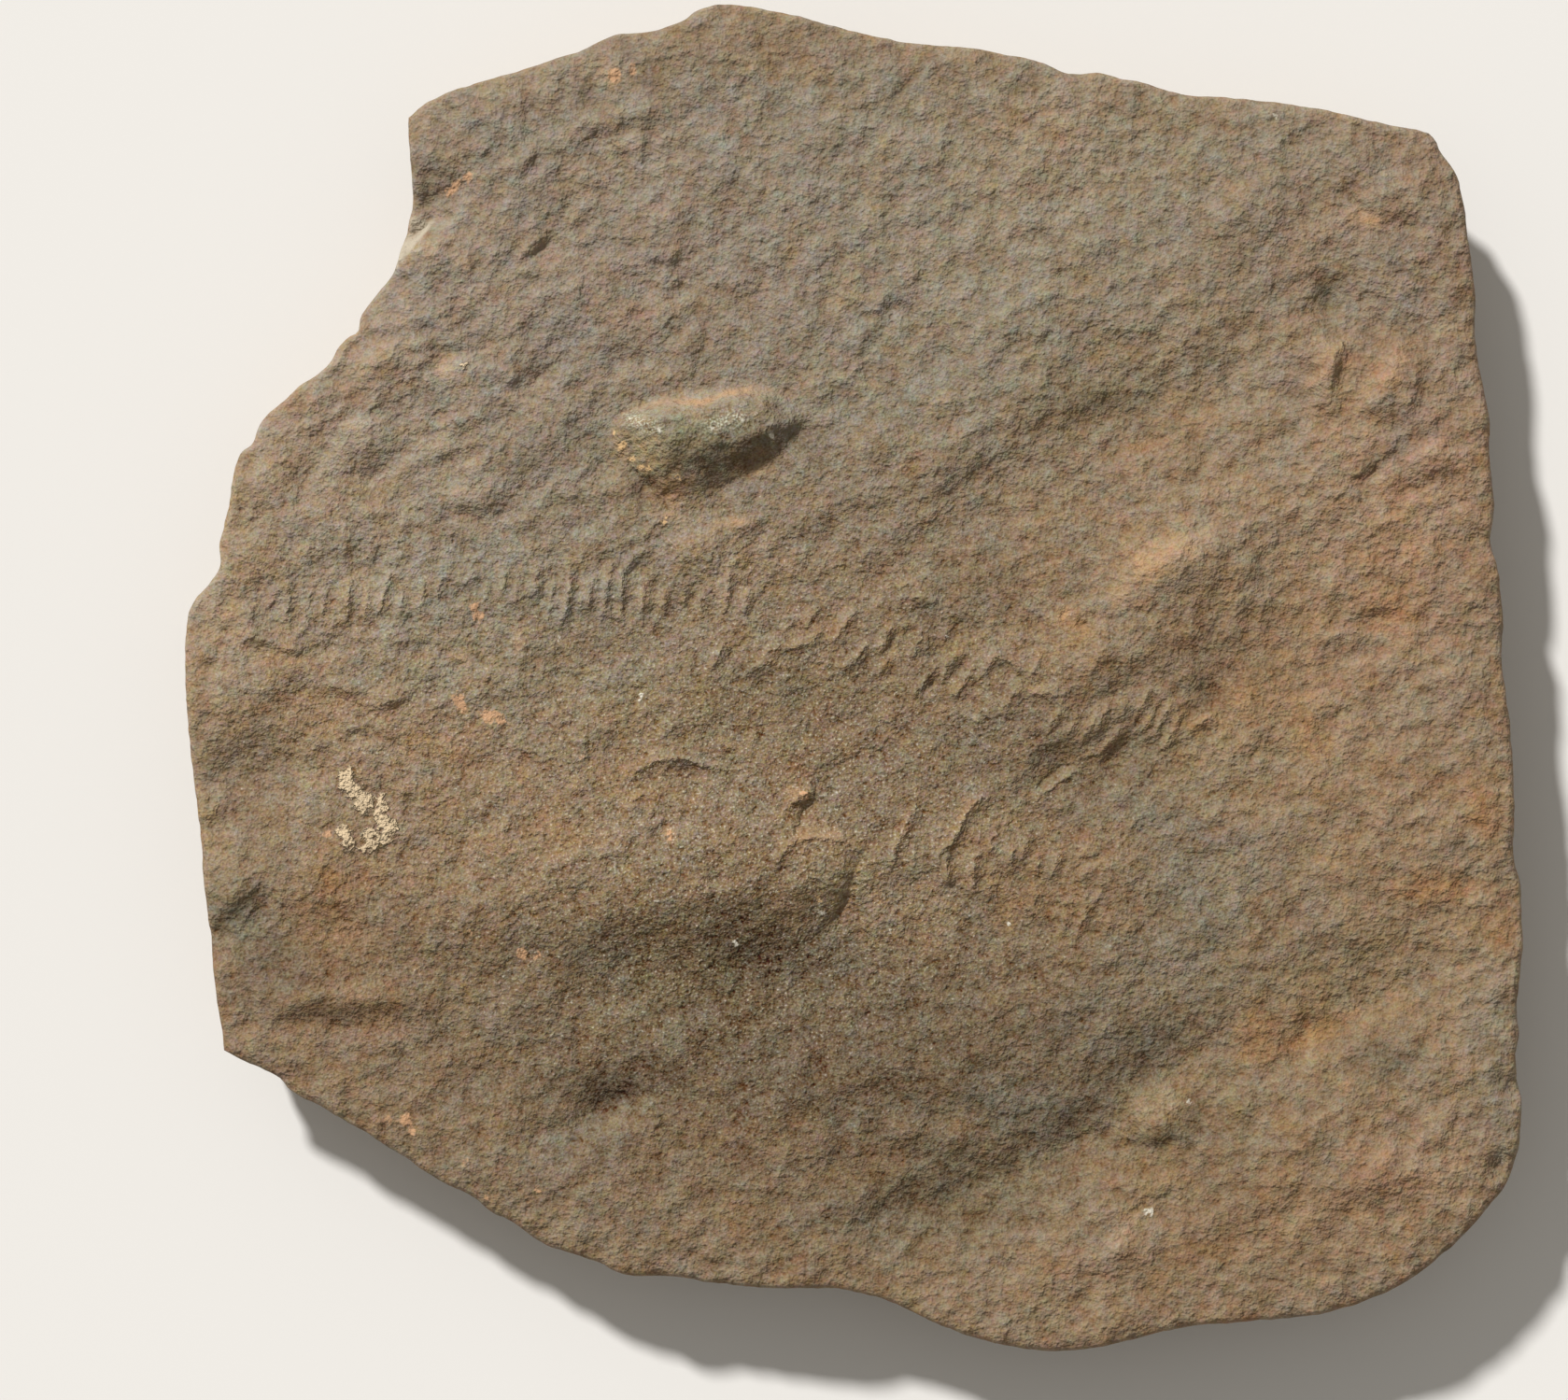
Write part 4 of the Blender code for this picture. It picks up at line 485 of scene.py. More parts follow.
# Slits and creases. Each row: a line and its depth.
SLITS = [
    ([(66.6, 64.8), (68.4, 62.8), (70.4, 61.6)], 0.5),
    ([(-30.6, 28.6), (-28.8, 27.0), (-27.2, 25.6)], 0.5),
    ([(4.4, 2.8), (5.3, 4.6), (6.3, 6.4)], 0.5), ([(6.4, 4.8), (7.6, 6.8)], 0.4),
    ([(9.0, -2.6), (10.6, -0.8), (11.6, 0.6)], 0.35), ([(12.8, -0.6), (15.0, 2.2)], 0.5),
    ([(-15.2, -12.1), (-16.4, -14.0), (-17.0, -16.2), (-17.7, -18.2)], 0.4),
    ([(-8.2, -20.8), (-7.0, -19.6), (-6.5, -17.8), (-5.0, -16.3)], 0.6),
    ([(2.0, -22.4), (0.4, -24.8), (-0.2, -27.4), (-1.2, -30.4), (-3.2, -32.8), (-8.4, -37.4)], 0.4),
    ([(24.6, -15.0), (26.4, -13.4), (29.0, -11.4)], 0.5),
    ([(29.6, -26.4), (30.8, -25.0), (33.8, -24.2)], 0.35), ([(27.0, -30.8), (28.4, -29.9)], 0.4),
    ([(49.6, 40.6), (51.2, 36.8)], 0.5), ([(68.3, 26.2), (70.6, 28.6)], 0.5),
    ([(4.4, 50.0), (9.6, 47.8)], 0.4), ([(27.8, 7.6), (28.6, 9.4)], 0.4),
    ([(29.4, 7.2), (31.9, 6.9)], 0.4), ([(20.0, 78.0), (20.4, 79.2)], 0.5),
    ([(-57.8, 61.8), (-53.6, 62.1)], 0.6), ([(73.4, 60.6), (76.2, 60.8)], 0.4),
]
SLIT_WIDTH = 0.6


def ridge(x, y, points, left_width, right_width, fade):
    """1 on a line through the points, falling in a bell curve to each side and tapering to both ends."""
    near, distance, share = beside(x, y, points, 3 * max(left_width, right_width))
    width = np.where(distance > 0, left_width, right_width)
    height = np.zeros_like(x)
    height[near] = taper(share, fade) * np.exp(-(distance / width) ** 2)
    return height


# ---- small lumps (above zero) and pits (below). Each row: x, y, radius, height.
DIMPLES = [
    (-34.4, 73.0, 0.9, -0.7), (-27.2, 73.0, 1.0, -0.6), (-39.4, 67.3, 1.1, -0.5),
    (-37.9, 63.8, 1.2, -0.6), (-23.7, 66.7, 1.1, -0.5), (-22.5, 52.9, 1.4, -0.6),
    (-28.7, 52.0, 1.3, -0.6), (2.0, 53.1, 1.2, -0.7), (-3.6, 50.4, 1.1, -0.5),
    (27.7, 66.4, 0.9, -0.4), (30.9, 65.2, 0.9, -0.5), (32.1, 62.9, 0.9, -0.5),
    (36.5, 67.0, 0.9, -0.4), (27.7, 54.2, 0.8, -0.6), (63.6, 51.6, 2.2, -1.3),
    (52.2, 46.0, 1.0, -0.6), (39.0, 31.9, 1.2, -0.7), (57.9, 32.8, 1.0, -0.5),
    (33.6, 24.9, 1.1, -0.6), (40.9, 19.0, 1.4, -0.9), (43.6, 16.8, 1.6, 0.6),
    (48.2, -2.4, 1.9, -0.7), (37.2, -8.6, 1.2, -0.5), (-63.9, 27.2, 1.4, -0.7),
    (-51.3, 29.7, 1.3, -0.6), (-42.9, 40.3, 1.2, -0.6), (-87.8, 2.9, 1.3, 0.6),
    (-86.4, 1.5, 0.9, -0.6), (-12.2, -1.3, 1.1, -0.6), (-26.3, 12.9, 0.7, -0.4),
    (-27.0, 9.0, 0.7, -0.4), (-24.2, 9.4, 0.6, -0.4), (-18.6, -27.0, 1.0, -0.9),
    (-8.0, -28.0, 1.2, 0.6), (-4.9, -29.7, 0.6, -0.5), (13.1, -28.2, 0.9, -0.7),
    (-24.3, -21.0, 1.1, 0.4), (-28.1, 25.2, 1.3, -0.9), (-33.4, 28.4, 1.6, -0.7),
    (40.2, -55.0, 1.8, 0.7), (39.8, -59.0, 2.6, 0.7), (53.2, -55.6, 1.5, 0.6),
    (62.2, -60.7, 1.5, 0.5), (35.9, -76.6, 1.8, 0.6), (7.7, -60.9, 1.2, 0.4),
    (14.0, -61.3, 1.8, 0.4), (1.8, -69.5, 0.9, 0.4), (72.3, 64.6, 2.4, 0.6),
    (26.2, -11.0, 2.4, -0.5), (88.6, -55.0, 1.3, -1.3), (87.0, -65.4, 1.4, -1.4),
    (17.8, -36.4, 0.8, -0.5), (-52.0, 3.0, 1.2, 0.4), (-45.0, 4.8, 1.1, 0.4),
]
# A thin cream crust at the left. Each row: x, y, radius.
CRUST = [
    (-67.7, -12.6, 0.8), (-68.2, -13.9, 1.4), (-67.2, -14.9, 1.4), (-66.3, -15.6, 1.1),
    (-65.8, -16.6, 1.2), (-66.2, -17.6, 0.8), (-63.9, -16.2, 0.9), (-63.4, -17.4, 1.0),
    (-63.9, -18.3, 0.8), (-63.2, -19.3, 1.0), (-62.4, -19.9, 1.2), (-62.6, -20.9, 1.1),
    (-63.0, -21.8, 0.8), (-64.8, -20.9, 1.1), (-64.6, -22.2, 1.0), (-65.6, -22.9, 0.8),
    (-68.4, -20.6, 1.1), (-67.9, -21.8, 1.0), (-67.6, -22.6, 0.7), (-52.4, 42.0, 0.7),
]
CRUST_RISE = 0.35          # its thickness, and how far in from its edge that is reached
CRUST_EDGE = 0.4


def spots(x, y, marks):
    """How far inside the nearest round mark each place is, in millimetres; below zero is outside."""
    inside = np.full_like(x, -1.0)
    for middle_x, middle_y, radius in marks:
        np.maximum(inside, radius - np.hypot(x - middle_x, y - middle_y), out=inside)
    return inside


# ---- the fresh chip at the head of the left edge: two planes that fall away from one point
CHIP_POINT = (-56.2, 61.4)
CHIP_FALLS = ((-0.77, 0.64), (-0.20, -0.98))     # the way each plane falls, and how steeply
CHIP_SLOPES = (1.5, 1.3)
CHIP_REACH = 9             # how far from the point it reaches, and the most it takes off
CHIP_DEPTH = 6


def chip(x, y):
    """How much the fresh chip takes off: the lesser of its two planes, and nothing beyond its reach."""
    falls = [
        slope * ((x - CHIP_POINT[0]) * fall[0] + (y - CHIP_POINT[1]) * fall[1])
        for fall, slope in zip(CHIP_FALLS, CHIP_SLOPES)
    ]
    near = np.hypot(x - CHIP_POINT[0], y - CHIP_POINT[1]) < CHIP_REACH
    return np.where(near, np.clip(np.minimum(*falls), 0, CHIP_DEPTH), 0)


def face_height(x, y):
    """Height of the face: broad swells and random ground, then every named feature, less the chip."""
    height = FACE_LEVEL + swells(x, y, SWELLS) + random_ground(x, y)
    for points, left_reach, right_reach, rise in STEPS:
        height += rise * step(x, y, points, left_reach, right_reach)
    height += nodule_height(x, y)
    for points, strength in UPPER_TRACK + LOWER_TRACK:
        height += TRACK_RISE * strength * ridge(x, y, points, *TRACK_WIDTHS, TRACK_FADE)
    for points, rise in LIPS:
        height += rise * ridge(x, y, points, *LIP_WIDTHS, LIP_FADE)
    for points, depth in SLITS:
        height -= depth * ridge(x, y, points, SLIT_WIDTH, SLIT_WIDTH, TRACK_FADE)
    for middle_x, middle_y, radius, rise in DIMPLES:
        height += rise * swell(x, y, middle_x, middle_y, radius, radius, 0)
    height += CRUST_RISE * np.clip(spots(x, y, CRUST) / CRUST_EDGE, 0, 1)
    return height - chip(x, y)


# ---- the sides and the underside
RIM_WEAR = 0.35            # how much the face is worn down at its rim, and over what width
RIM_WEAR_WIDTH = 1.6
RIM_WEAR_CHANGE = (5, 0.8, 43)    # how that changes along the rim: size, share, seed
RIM_ROUND = 1.1            # how far in the worn top rim begins, and how far down it reaches
RIM_DROP = 1.3
UNDERCUT = 3.4             # how far the sides lean in by the foot, and by what power of the way down
UNDERCUT_BEND = 1.5
LAYERS = 3                 # layers of stone that the sides break into
LEDGE = 1.0                # how far one layer stands proud of the next
LEDGE_SIZE = 13            # over what length that changes, with its seed, and how far apart in their
LEDGE_SEED = 31            # lattice of lumps the layers are cut
LEDGE_CUT = 30
LEDGE_SOFTNESS = 0.07      # how soft the edge of a layer is, as a share of the height
SEAM_WANDER = [(17, 0.09, 33), (5, 0.05, 34)]         # each row: size, share of the height, seed
BROKEN_LUMPS = [(4.5, 0.30, 35, 1.0), (2.0, 0.17, 36, 1.4)]   # size, depth, seed, squash from top to foot
FOOT_HEIGHT = 1.6          # height and depth of the worn lower rim
FOOT_INSET = 1.6
WORN_ROWS = 3              # rows of cells round each worn rim, and down the broken side between
BROKEN_ROWS = 14
# The underside: flakes are missing wherever slow random ground passes these levels.
FLAKE = 0.6                # thickness of one flake
FLAKE_GROUND = [(38, 1.0, 21), (13, 0.35, 22), (4, 0.1, 23)]  # each row: size, height, seed
FLAKE_LEVELS = (0.3, 0.6)
FLAKE_STEEPNESS = 6
UNDERSIDE_GRAIN = [(2.4, 0.05, 24), (6, 0.05, 25)]


def underside_height(x, y):
    """Height of the underside: the rest plane, with shallow flakes missing in steps."""
    ground = sum(rise * lumps(x, y, 0, size, seed) for size, rise, seed in FLAKE_GROUND)
    steps = sum(np.clip(FLAKE_STEEPNESS * (ground - level), 0, 1) for level in FLAKE_LEVELS)
    rough = sum(rise * (1 + lumps(x, y, 0, size, seed)) for size, rise, seed in UNDERSIDE_GRAIN)
    return FLAKE * steps + rough


def side_rings(loop, normal, top_height):
    """The rings of points from the worn top rim down the broken side to the worn lower rim.

    Both rims are quarter rounds. Between them the stone is broken in layers, whose edges stand in
    or out by their own slowly changing amounts and whose seams wander up and down, and the whole
    side leans in. Returns the rings' places and heights, top ring first.
    """
    x, y = loop.T
    rings = []
    for turn in np.radians(90) * np.arange(1, WORN_ROWS + 1) / WORN_ROWS:
        rings.append((RIM_ROUND * (1 - np.sin(turn)) + 0 * x, top_height - RIM_DROP * (1 - np.cos(turn))))
    depth = top_height - RIM_DROP - FOOT_HEIGHT
    cuts = [LEDGE_CUT * layer for layer in range(LAYERS)]
    ledges = [LEDGE * (1 + lumps(x, y, cut, LEDGE_SIZE, LEDGE_SEED)) for cut in cuts]
    for share in np.arange(1, BROKEN_ROWS + 1) / BROKEN_ROWS:
        height = FOOT_HEIGHT + depth * (1 - share)
        inset = UNDERCUT * share ** UNDERCUT_BEND
        seam = share + sum(wander * lumps(x, y, 0, size, seed) for size, wander, seed in SEAM_WANDER)
        for layer, ledge in enumerate(ledges):
            above = ledges[layer - 1] if layer else 0
            inset = inset + (ledge - above) * np.clip((seam - layer / LAYERS) / LEDGE_SOFTNESS, 0, 1)
        for size, rise, seed, squash in BROKEN_LUMPS:
            inset = inset + rise * lumps(x, y, squash * height, size, seed)
        rings.append((inset, height))
    inset = rings[-1][0]
    for turn in np.radians(90) * np.arange(1, WORN_ROWS + 1) / WORN_ROWS:
        rings.append((inset + FOOT_INSET * (1 - np.cos(turn)), FOOT_HEIGHT * (1 - np.sin(turn)) + 0 * x))
    return [np.column_stack([loop - inset[:, None] * normal, height]) for inset, height in rings]


# ---- the skin
ACROSS_CELLS = 280         # cells of the face grid, both even: the underside has half as many
UP_CELLS = 224
ACROSS_CROWDING = (0.42, 0.20)    # where they are smallest, as a share of the way, and by how much
UP_CROWDING = (0.50, 0.35)
BATCHES = 40               # batches in which distances to the rim are worked out, to save memory
BASE_STRIP = 0.9           # width of the strip between the lower rim and the underside's grid


def nearest_distance(x, y, loop):
    """Distance from each place to the nearest point of a loop."""
    places = np.stack([x.ravel(), y.ravel()], axis=1)
    batches = np.array_split(places, BATCHES)
    found = [np.hypot(*(batch[:, None] - loop[None]).transpose(2, 0, 1)).min(axis=1) for batch in batches]
    return np.concatenate(found).reshape(x.shape)


def cells(number):
    """The cells of a grid of point numbers as rows of four corners, anticlockwise for [across, up]."""
    corners = [number[:-1, :-1], number[1:, :-1], number[1:, 1:], number[:-1, 1:]]
    return np.stack(corners, axis=-1).reshape(-1, 4)


def border(number):
    """The point numbers round a grid, anticlockwise from its first corner."""
    return np.concatenate([number[:-1, 0], number[-1, :-1], number[:0:-1, -1], number[0, :0:-1]])


def slab_points_and_faces():
    """The slab's skin: the face grid, the rings down the sides, and a grid half as fine underneath."""
    across = crowded(ACROSS_CELLS, *ACROSS_CROWDING)
    up = crowded(UP_CELLS, *UP_CROWDING)
    loop = outline(across, up)
    normal = outward(loop)

    rim = loop - RIM_ROUND * normal
    x, y = np.moveaxis(fill(rim, across, up), -1, 0)
    wear = RIM_WEAR * np.exp(-(nearest_distance(x, y, rim) / RIM_WEAR_WIDTH) ** 2)
    size, change, seed = RIM_WEAR_CHANGE
    wear *= 1 + change * lumps(x, y, 0, size, seed)
    face = np.stack([x, y, face_height(x, y) - wear], axis=-1)
    face_number = np.arange(x.size).reshape(x.shape)
    face_border = border(face_number)

    rings = side_rings(loop, normal, face.reshape(-1, 3)[face_border, 2])
    count = len(loop)
    ring_number = x.size + np.arange(count * len(rings)).reshape(len(rings), count)
    side_number = np.vstack([face_border, ring_number]).T
    side_number = np.vstack([side_number, side_number[:1]])

    foot = rings[-1][:, :2]
    base_loop = (foot - BASE_STRIP * normal)[::2]
    bx, by = np.moveaxis(fill(base_loop, across[::2], up[::2]), -1, 0)
    base = np.stack([bx, by, underside_height(bx, by)], axis=-1)
    base_number = x.size + ring_number.size + np.arange(bx.size).reshape(bx.shape)

    here = np.arange(0, count, 2)
    middle = here + 1
    after = (here + 2) % count
    outer = ring_number[-1]
    inner = border(base_number)
    inner_after = np.roll(inner, -1)
    strip = np.concatenate([
        np.stack([outer[here], inner, outer[middle]], axis=1),
        np.stack([outer[middle], inner, inner_after], axis=1),
        np.stack([outer[middle], inner_after, outer[after]], axis=1),
    ])
    quads = np.concatenate([cells(face_number), cells(side_number[:, ::-1]), cells(base_number[:, ::-1])])
    points = np.concatenate([face.reshape(-1, 3)] + rings + [base.reshape(-1, 3)])
    return points, quads.tolist() + strip.tolist()


# ---- the colours of the face, as soft stains, some of which are partly painted light and shade
# How far the iron has rusted the stone from grey-brown (below zero) to orange-brown (above).
WARM_STAINS = [
    (29, 8, 2.6, 1.6, 0, 0.45), (53, -2.6, 4, 2.4, 10, 0.25), (-54.6, 41.6, 1.6, 1.9, 30, 0.4),
    (-32.4, 81, 1.3, 1.5, 0, 0.4), (-8, 83, 10, 4, -6, 0.22), (-22, 64, 8, 5, 20, 0.16),
    (78, -28, 6, 1.8, 0, 0.60), (86.6, -34.6, 1.8, 3, 0, 0.65), (85, -18, 2.2, 5, 0, 0.55),
    (54, -48.4, 2.6, 5, 20, 0.55), (63, -47.4, 5, 1.5, 24, 0.60), (60.6, -8, 2, 5, 0, 0.45),
    (38.6, 31.4, 1.8, 1, 0, 0.5), (12.4, -4.4, 5, 1.6, 4, 0.18), (24, -29, 10, 3.4, -14, 0.14),
    (-68.6, -2.4, 3.6, 1.4, -12, 0.35), (5.4, 4.8, 2.2, 2.6, 60, 0.22),
    (-76.5, 3, 4.5, 1.5, -12, 0.25), (-17, 13, 2.6, 5, 0, 0.12), (-45, 40, 45, 32, 40, -0.42),
    (-50, 8, 24, 12, 0, -0.26), (0, 62, 62, 26, -6, -0.50), (6, 38, 22, 14, 20, -0.30),
    (-15, 20, 14, 8, 0, -0.14), (62, 68, 18, 8, -10, -0.14), (46, -27, 8, 11, 25, -0.40),
    (37, -44, 9, 6, 30, -0.24), (22, -56, 9, 5, 0, -0.34), (-38, -63, 9, 4, 0, -0.34),
    (73, -51, 3.4, 2.4, 0, -0.30), (48, 42, 3, 2.4, 0, -0.25), (-79, -34, 4, 3, 0, -0.35),
    (87, -55, 4, 9, 0, -0.40), (-84, -29, 5, 5, 0, -0.30), (-30, 0, 5, 3, 0, -0.2),
    (14, -8, 10, 5, 0, -0.10), (57, 28, 3, 3, 0, -0.15), (56, 0, 18, 9, 30, 0.30),
    (73, 10, 4, 3, 0, 0.35), (70, 26, 16, 24, -8, 0.12), (62, -46, 9, 5, 20, 0.34),
    (58, -72, 24, 8, 15, 0.30), (40, -64, 9, 4, 0, 0.16), (76, -28, 7, 7, 0, 0.22),
    (-69, -37, 5, 8, 30, 0.44), (-66, -45.6, 12, 2.2, 4, 0.30), (-68, -28, 9, 4, 10, 0.22),
    (-60, -8, 13, 5, -12, 0.20), (-42, -20, 6, 5, 60, 0.16), (-7, -15, 5, 5, 0, 0.18),
    (-20, -65, 14, 8, 0, 0.12), (32, -28, 11, 7, 20, 0.12), (40, 32, 6, 4, 40, 0.22),
    (35, 44, 9, 5, 0, 0.10), (30, 9, 4, 3, 0, 0.16), (69, 62, 5, 2.6, 0, 0.45),
    (70, 43, 8, 5, 40, 0.20), (-25, 25, 3, 3, 0, 0.5), (-17, 29, 9, 2.6, 12, 0.3),
    (72, 52, 8, 13, 0, -0.30), (47, 70, 9, 5, 0, -0.22), (72, -16, 6, 7, 0, 0.22),
    (50, -40, 6, 4, 0, -0.25), (-3, 80, 14, 4, 0, -0.16), (39, -49, 8, 4, 0, -0.13),
    (-34, -69, 6, 4, 0, -0.16), (-29, -29, 6, 4, 0, -0.16), (-61, 1, 6, 4, 0, -0.15),
    (10, 20, 6, 5, 0, -0.14), (20, -14, 12, 7, 0, -0.12), (-10, -40, 6, 4, 0, 0.18),
    (-28, 31, 4, 3, 0, 0.35), (-69, -28, 2.2, 5, 30, 0.25), (-57, -32, 4, 2, 0, 0.2),
    (-39, -22, 2.4, 5, 20, 0.25),
]
# How olive (above zero) or violet (below) the stone is.
OLIVE_STAINS = [
    (64.6, 38.6, 2.2, 1.6, 0, 0.8), (63.6, 51.8, 2.4, 2.2, 0, 0.7), (-27, 29.6, 6, 4, -30, 0.2),
    (-40, 50, 44, 30, 10, -0.6), (76, 25, 12, 34, 4, -0.4), (68, 60, 14, 12, 0, -0.3),
    (-23, 32, 10, 4, 8, 1.6), (33, 38, 12, 5, 0, 0.5), (12, 8, 7, 8, 0, 0.4),
    (-18, -2, 18, 6, 5, 0.4), (-24, -40, 16, 9, 0, 0.6), (-2, -27, 6, 2.6, 20, 0.7),
    (46, -10, 14, 7, 10, 0.4), (48, -21, 7, 2, 0, -0.6), (66, -40, 9, 7, 40, 0.6),
    (40, -61, 5, 7, 20, 0.7), (51, -57, 3, 5, 0, 0.7), (33, -77, 6, 4, 0, -0.4),
    (12, -70, 18, 8, 12, 0.5), (-83, -31, 4, 4, 0, 0.4), (-64, -48, 6, 2, 10, -0.5),
    (72, -66, 8, 6, 0, -0.5), (-35, -66, 6, 4, 0, -0.3), (0, -40, 90, 50, 0, 0.35),
    (45, 74, 8, 4, 0, 0.4), (78, 32, 4, 4, 0, -0.6),
]
# How much paler (above zero) or darker (below) the stone is. Some rows are the stone's own tone;
# others are painted shade in its pits, hollows, troughs and cracks and under the nodule, and painted
# highlights on crests and ledges; the broad rows make large areas lighter or darker, such as the
# lower half, which is darker.
TONE_AND_PAINTED_SHADING = [
    (64.6, 38.6, 1.6, 1.3, 0, 0.18), (61.4, 52.6, 1.8, 0.8, 100, 0.32),
    # The next row begins with painted shade in the pit at (63.6, 51.6).
    (63.8, 51.5, 1.8, 1.6, 0, -0.5), (40.6, -56.4, 3, 1.5, 20, 0.12),
    (41, -61.8, 4.4, 1.0, 8, -0.36), (45.6, -58.6, 1.0, 2.4, 0, -0.16),
    (-32.4, 81, 1.1, 1.4, 0, 0.26), (-29.6, 81.4, 0.9, 0.8, 0, 0.22), (-53, 67, 3, 1.3, 25, 0.14),
    (-54.6, 41.6, 1.5, 1.9, 30, 0.16), (-50.4, 25.4, 2.2, 1.1, 30, 0.18),
    (-66.6, 33.8, 1.4, 0.9, 30, 0.16), (6, 72, 0.9, 1.0, 0, 0.2), (30, 3.6, 3, 1.6, 20, 0.10),
    (-57, 66, 2.6, 4.4, 0, -0.22), (41.2, -58, 3.8, 2.8, 20, 0.3), (71, -51.4, 4, 2.4, 10, -0.14),
    (-44.4, 69, 3.4, 1.0, 50, -0.16), (-31, -58.6, 2.4, 1.6, -20, 0.16),
    (42, 16.4, 4, 2.2, 20, 0.14), (-63.2, 11.4, 3.4, 0.9, 68, 0.14), (-16.5, 12, 4, 0.9, 88, 0.13),
    (12.4, -4.4, 5, 1.3, 4, 0.10), (-75.5, 10.4, 3, 0.8, 86, -0.14),
    (-23.4, 12.8, 1.3, 1.2, 0, -0.2), (-26.5, 12.6, 1.2, 0.9, 0, -0.2),
    # The next row is painted shade in the pits at (37.2, -8.6), (48.2, -2.4) and (26.2, -11.0).
    (37.4, -9, 1.6, 1.3, 0, -0.2), (48, -2.6, 2.6, 1.9, 30, -0.2), (26, -10.6, 3.6, 1.7, 0, -0.14),
    (0, 60, 90, 30, 0, 0.10), (-70, 24, 30, 40, 20, 0.22), (-50, 55, 20, 16, 40, 0.05),
    (-86, 6, 5, 12, 0, 0.12), (-13, -35, 13, 6, 12, -0.30), (-36, -35, 15, 5, 5, -0.12),
    # The next row begins with painted shade on the upper-left wall of the hollow at (-33.6, -56.8).
    (-33, -55.4, 6, 3.4, 10, -0.34), (8, -55, 8, 4, 10, -0.06), (8, -69, 16, 3.4, 14, -0.2),
    (28, -60, 9, 3, 30, -0.22), (40, -50, 10, 3.4, 42, -0.2), (-5, -50, 50, 22, 5, -0.42),
    (-68, -35, 18, 9, 0, -0.16), (34, 37.6, 8, 3.8, 0, -0.24), (52, 48, 9, 6, 30, -0.10),
    (48, 4, 9, 6, 40, -0.12), (46, 1, 10, 5, 30, -0.10), (36, -12, 8, 3, 20, -0.12),
    (-12, -2, 10, 3.4, 0, -0.16), (42, 16, 7, 3, 40, 0.12), (58, -70, 34, 16, 10, -0.07),
    # Painted light and shade from here to the stain at (72, 41): a painted shadow on the nodule's steep
    # lower side, painted shade at the foot of the ledge at (-68, -43) and a painted highlight on its top,
    # painted shade in the hollow at (-83, -32.6), and painted shade in the troughs and painted highlights
    # on the crests of the ridges at the right.
    (-17, 29.6, 10, 3.0, 16, -0.42), (-68, -45.4, 10, 1.2, 2, -0.30),
    (-68, -42.2, 10, 1.0, 2, 0.12), (-83, -32, 4, 2, 45, -0.40), (60.6, 39.6, 3.6, 1.2, 58, -0.30),
    (67.5, 42, 4, 1.2, 62, -0.20), (72, 30.5, 6, 1.2, 42, -0.25), (68, 47.4, 9, 2, -10, -0.14),
    (64, 42, 4, 1.4, 60, 0.14), (72, 41, 5, 1.5, 68, 0.14), (31, -75, 8, 6, 0, 0.12),
    (37, -73.4, 4, 1, 60, 0.35), (40, 14.6, 7, 3, 40, 0.14), (78.4, 29.6, 2.4, 1.6, 0, 0.25),
    (-66.4, 33.8, 1.8, 1.4, 0, 0.24), (-55, 41, 2, 1.6, 0, 0.24), (-63, 43, 2.6, 2, 0, 0.16),
    (-57, 57, 2.6, 2, 0, 0.20), (-52, 24.8, 2.6, 1.4, 15, 0.24), (-45, 6, 2, 1.4, 0, 0.20),
    (-49, -5, 2, 1.4, 0, 0.16), (-33, 81, 1.8, 1.2, 0, 0.30), (-28, 80.4, 3, 1.6, 0, -0.2),
    (0, 84, 60, 3, -8, -0.06), (-22, 37.4, 11, 1.6, 6, 0.25), (62, 8, 24, 36, 0, 0.06),
    (8, -8, 28, 16, -10, -0.16), (3, -30, 12, 5.5, 0, 0.34), (41, -41, 7, 4, 30, 0.22),
    (20, 13, 15, 8, 20, -0.15), (43, 31, 5, 5, 0, -0.14), (72, 23, 14, 9, 0, 0.15),
    (46, -60, 8, 5, 0, -0.14), (71, -50, 6, 4, 0, -0.15), (17, -73, 18, 6, 10, -0.2),
    (-77, -40, 8, 5, 0, -0.24), (-81, -14, 5, 8, 0, -0.2), (38, -16, 9, 5, 0, -0.15),
    (15, -20, 8, 5, 0, 0.14), (26, 71, 9, 6, 0, 0.14), (-29, 70, 6, 4, 0, 0.14),
    (-17, 14, 8, 8, 0, 0.15), (76, -66, 8, 5, -20, 0.16), (55, 1, 9, 4, 0, -0.12),
    # The last three stains are a painted highlight on the nodule's lower left facet, and painted shade in
    # the crack under it and at its lower left corner.
    (4, 62, 34, 18, 0, 0.06), (-28.4, 30.6, 3.4, 2.8, 0, 0.30), (-27.6, 26.6, 2.0, 0.5, -48, -0.5),
    (-28.6, 24.4, 1.8, 1.8, 0, -0.3),
]
# Where the sharp sand grains stand out most: the middle of the face; its borders are smoother.
GRAIN_STAINS = [(-15, -20, 62, 52, 10, 0.9), (-75, 5, 20, 30, 0, 0.3)]
WARM_BASE = 0.48           # what the warm and the grain stains are added to
GRAIN_BASE = 0.42
# The sides and the underside: how far below the face they begin, over what height the face's stains
# give way to theirs, and theirs, of which the warm and the pale one change slowly along them.
SIDE_START = 2.2
SIDE_BLEND = 1.5
SIDE_WARM = 0.42
SIDE_OLIVE = 0.3
SIDE_PALE = -0.05
SIDE_CHANGE = 0.12
SIDE_CHANGE_SIZE = 9
SIDE_CHANGE_SEED = 61
CHIP_EDGE = 0.3            # depth of the chip at which the fresh stone is fully bare

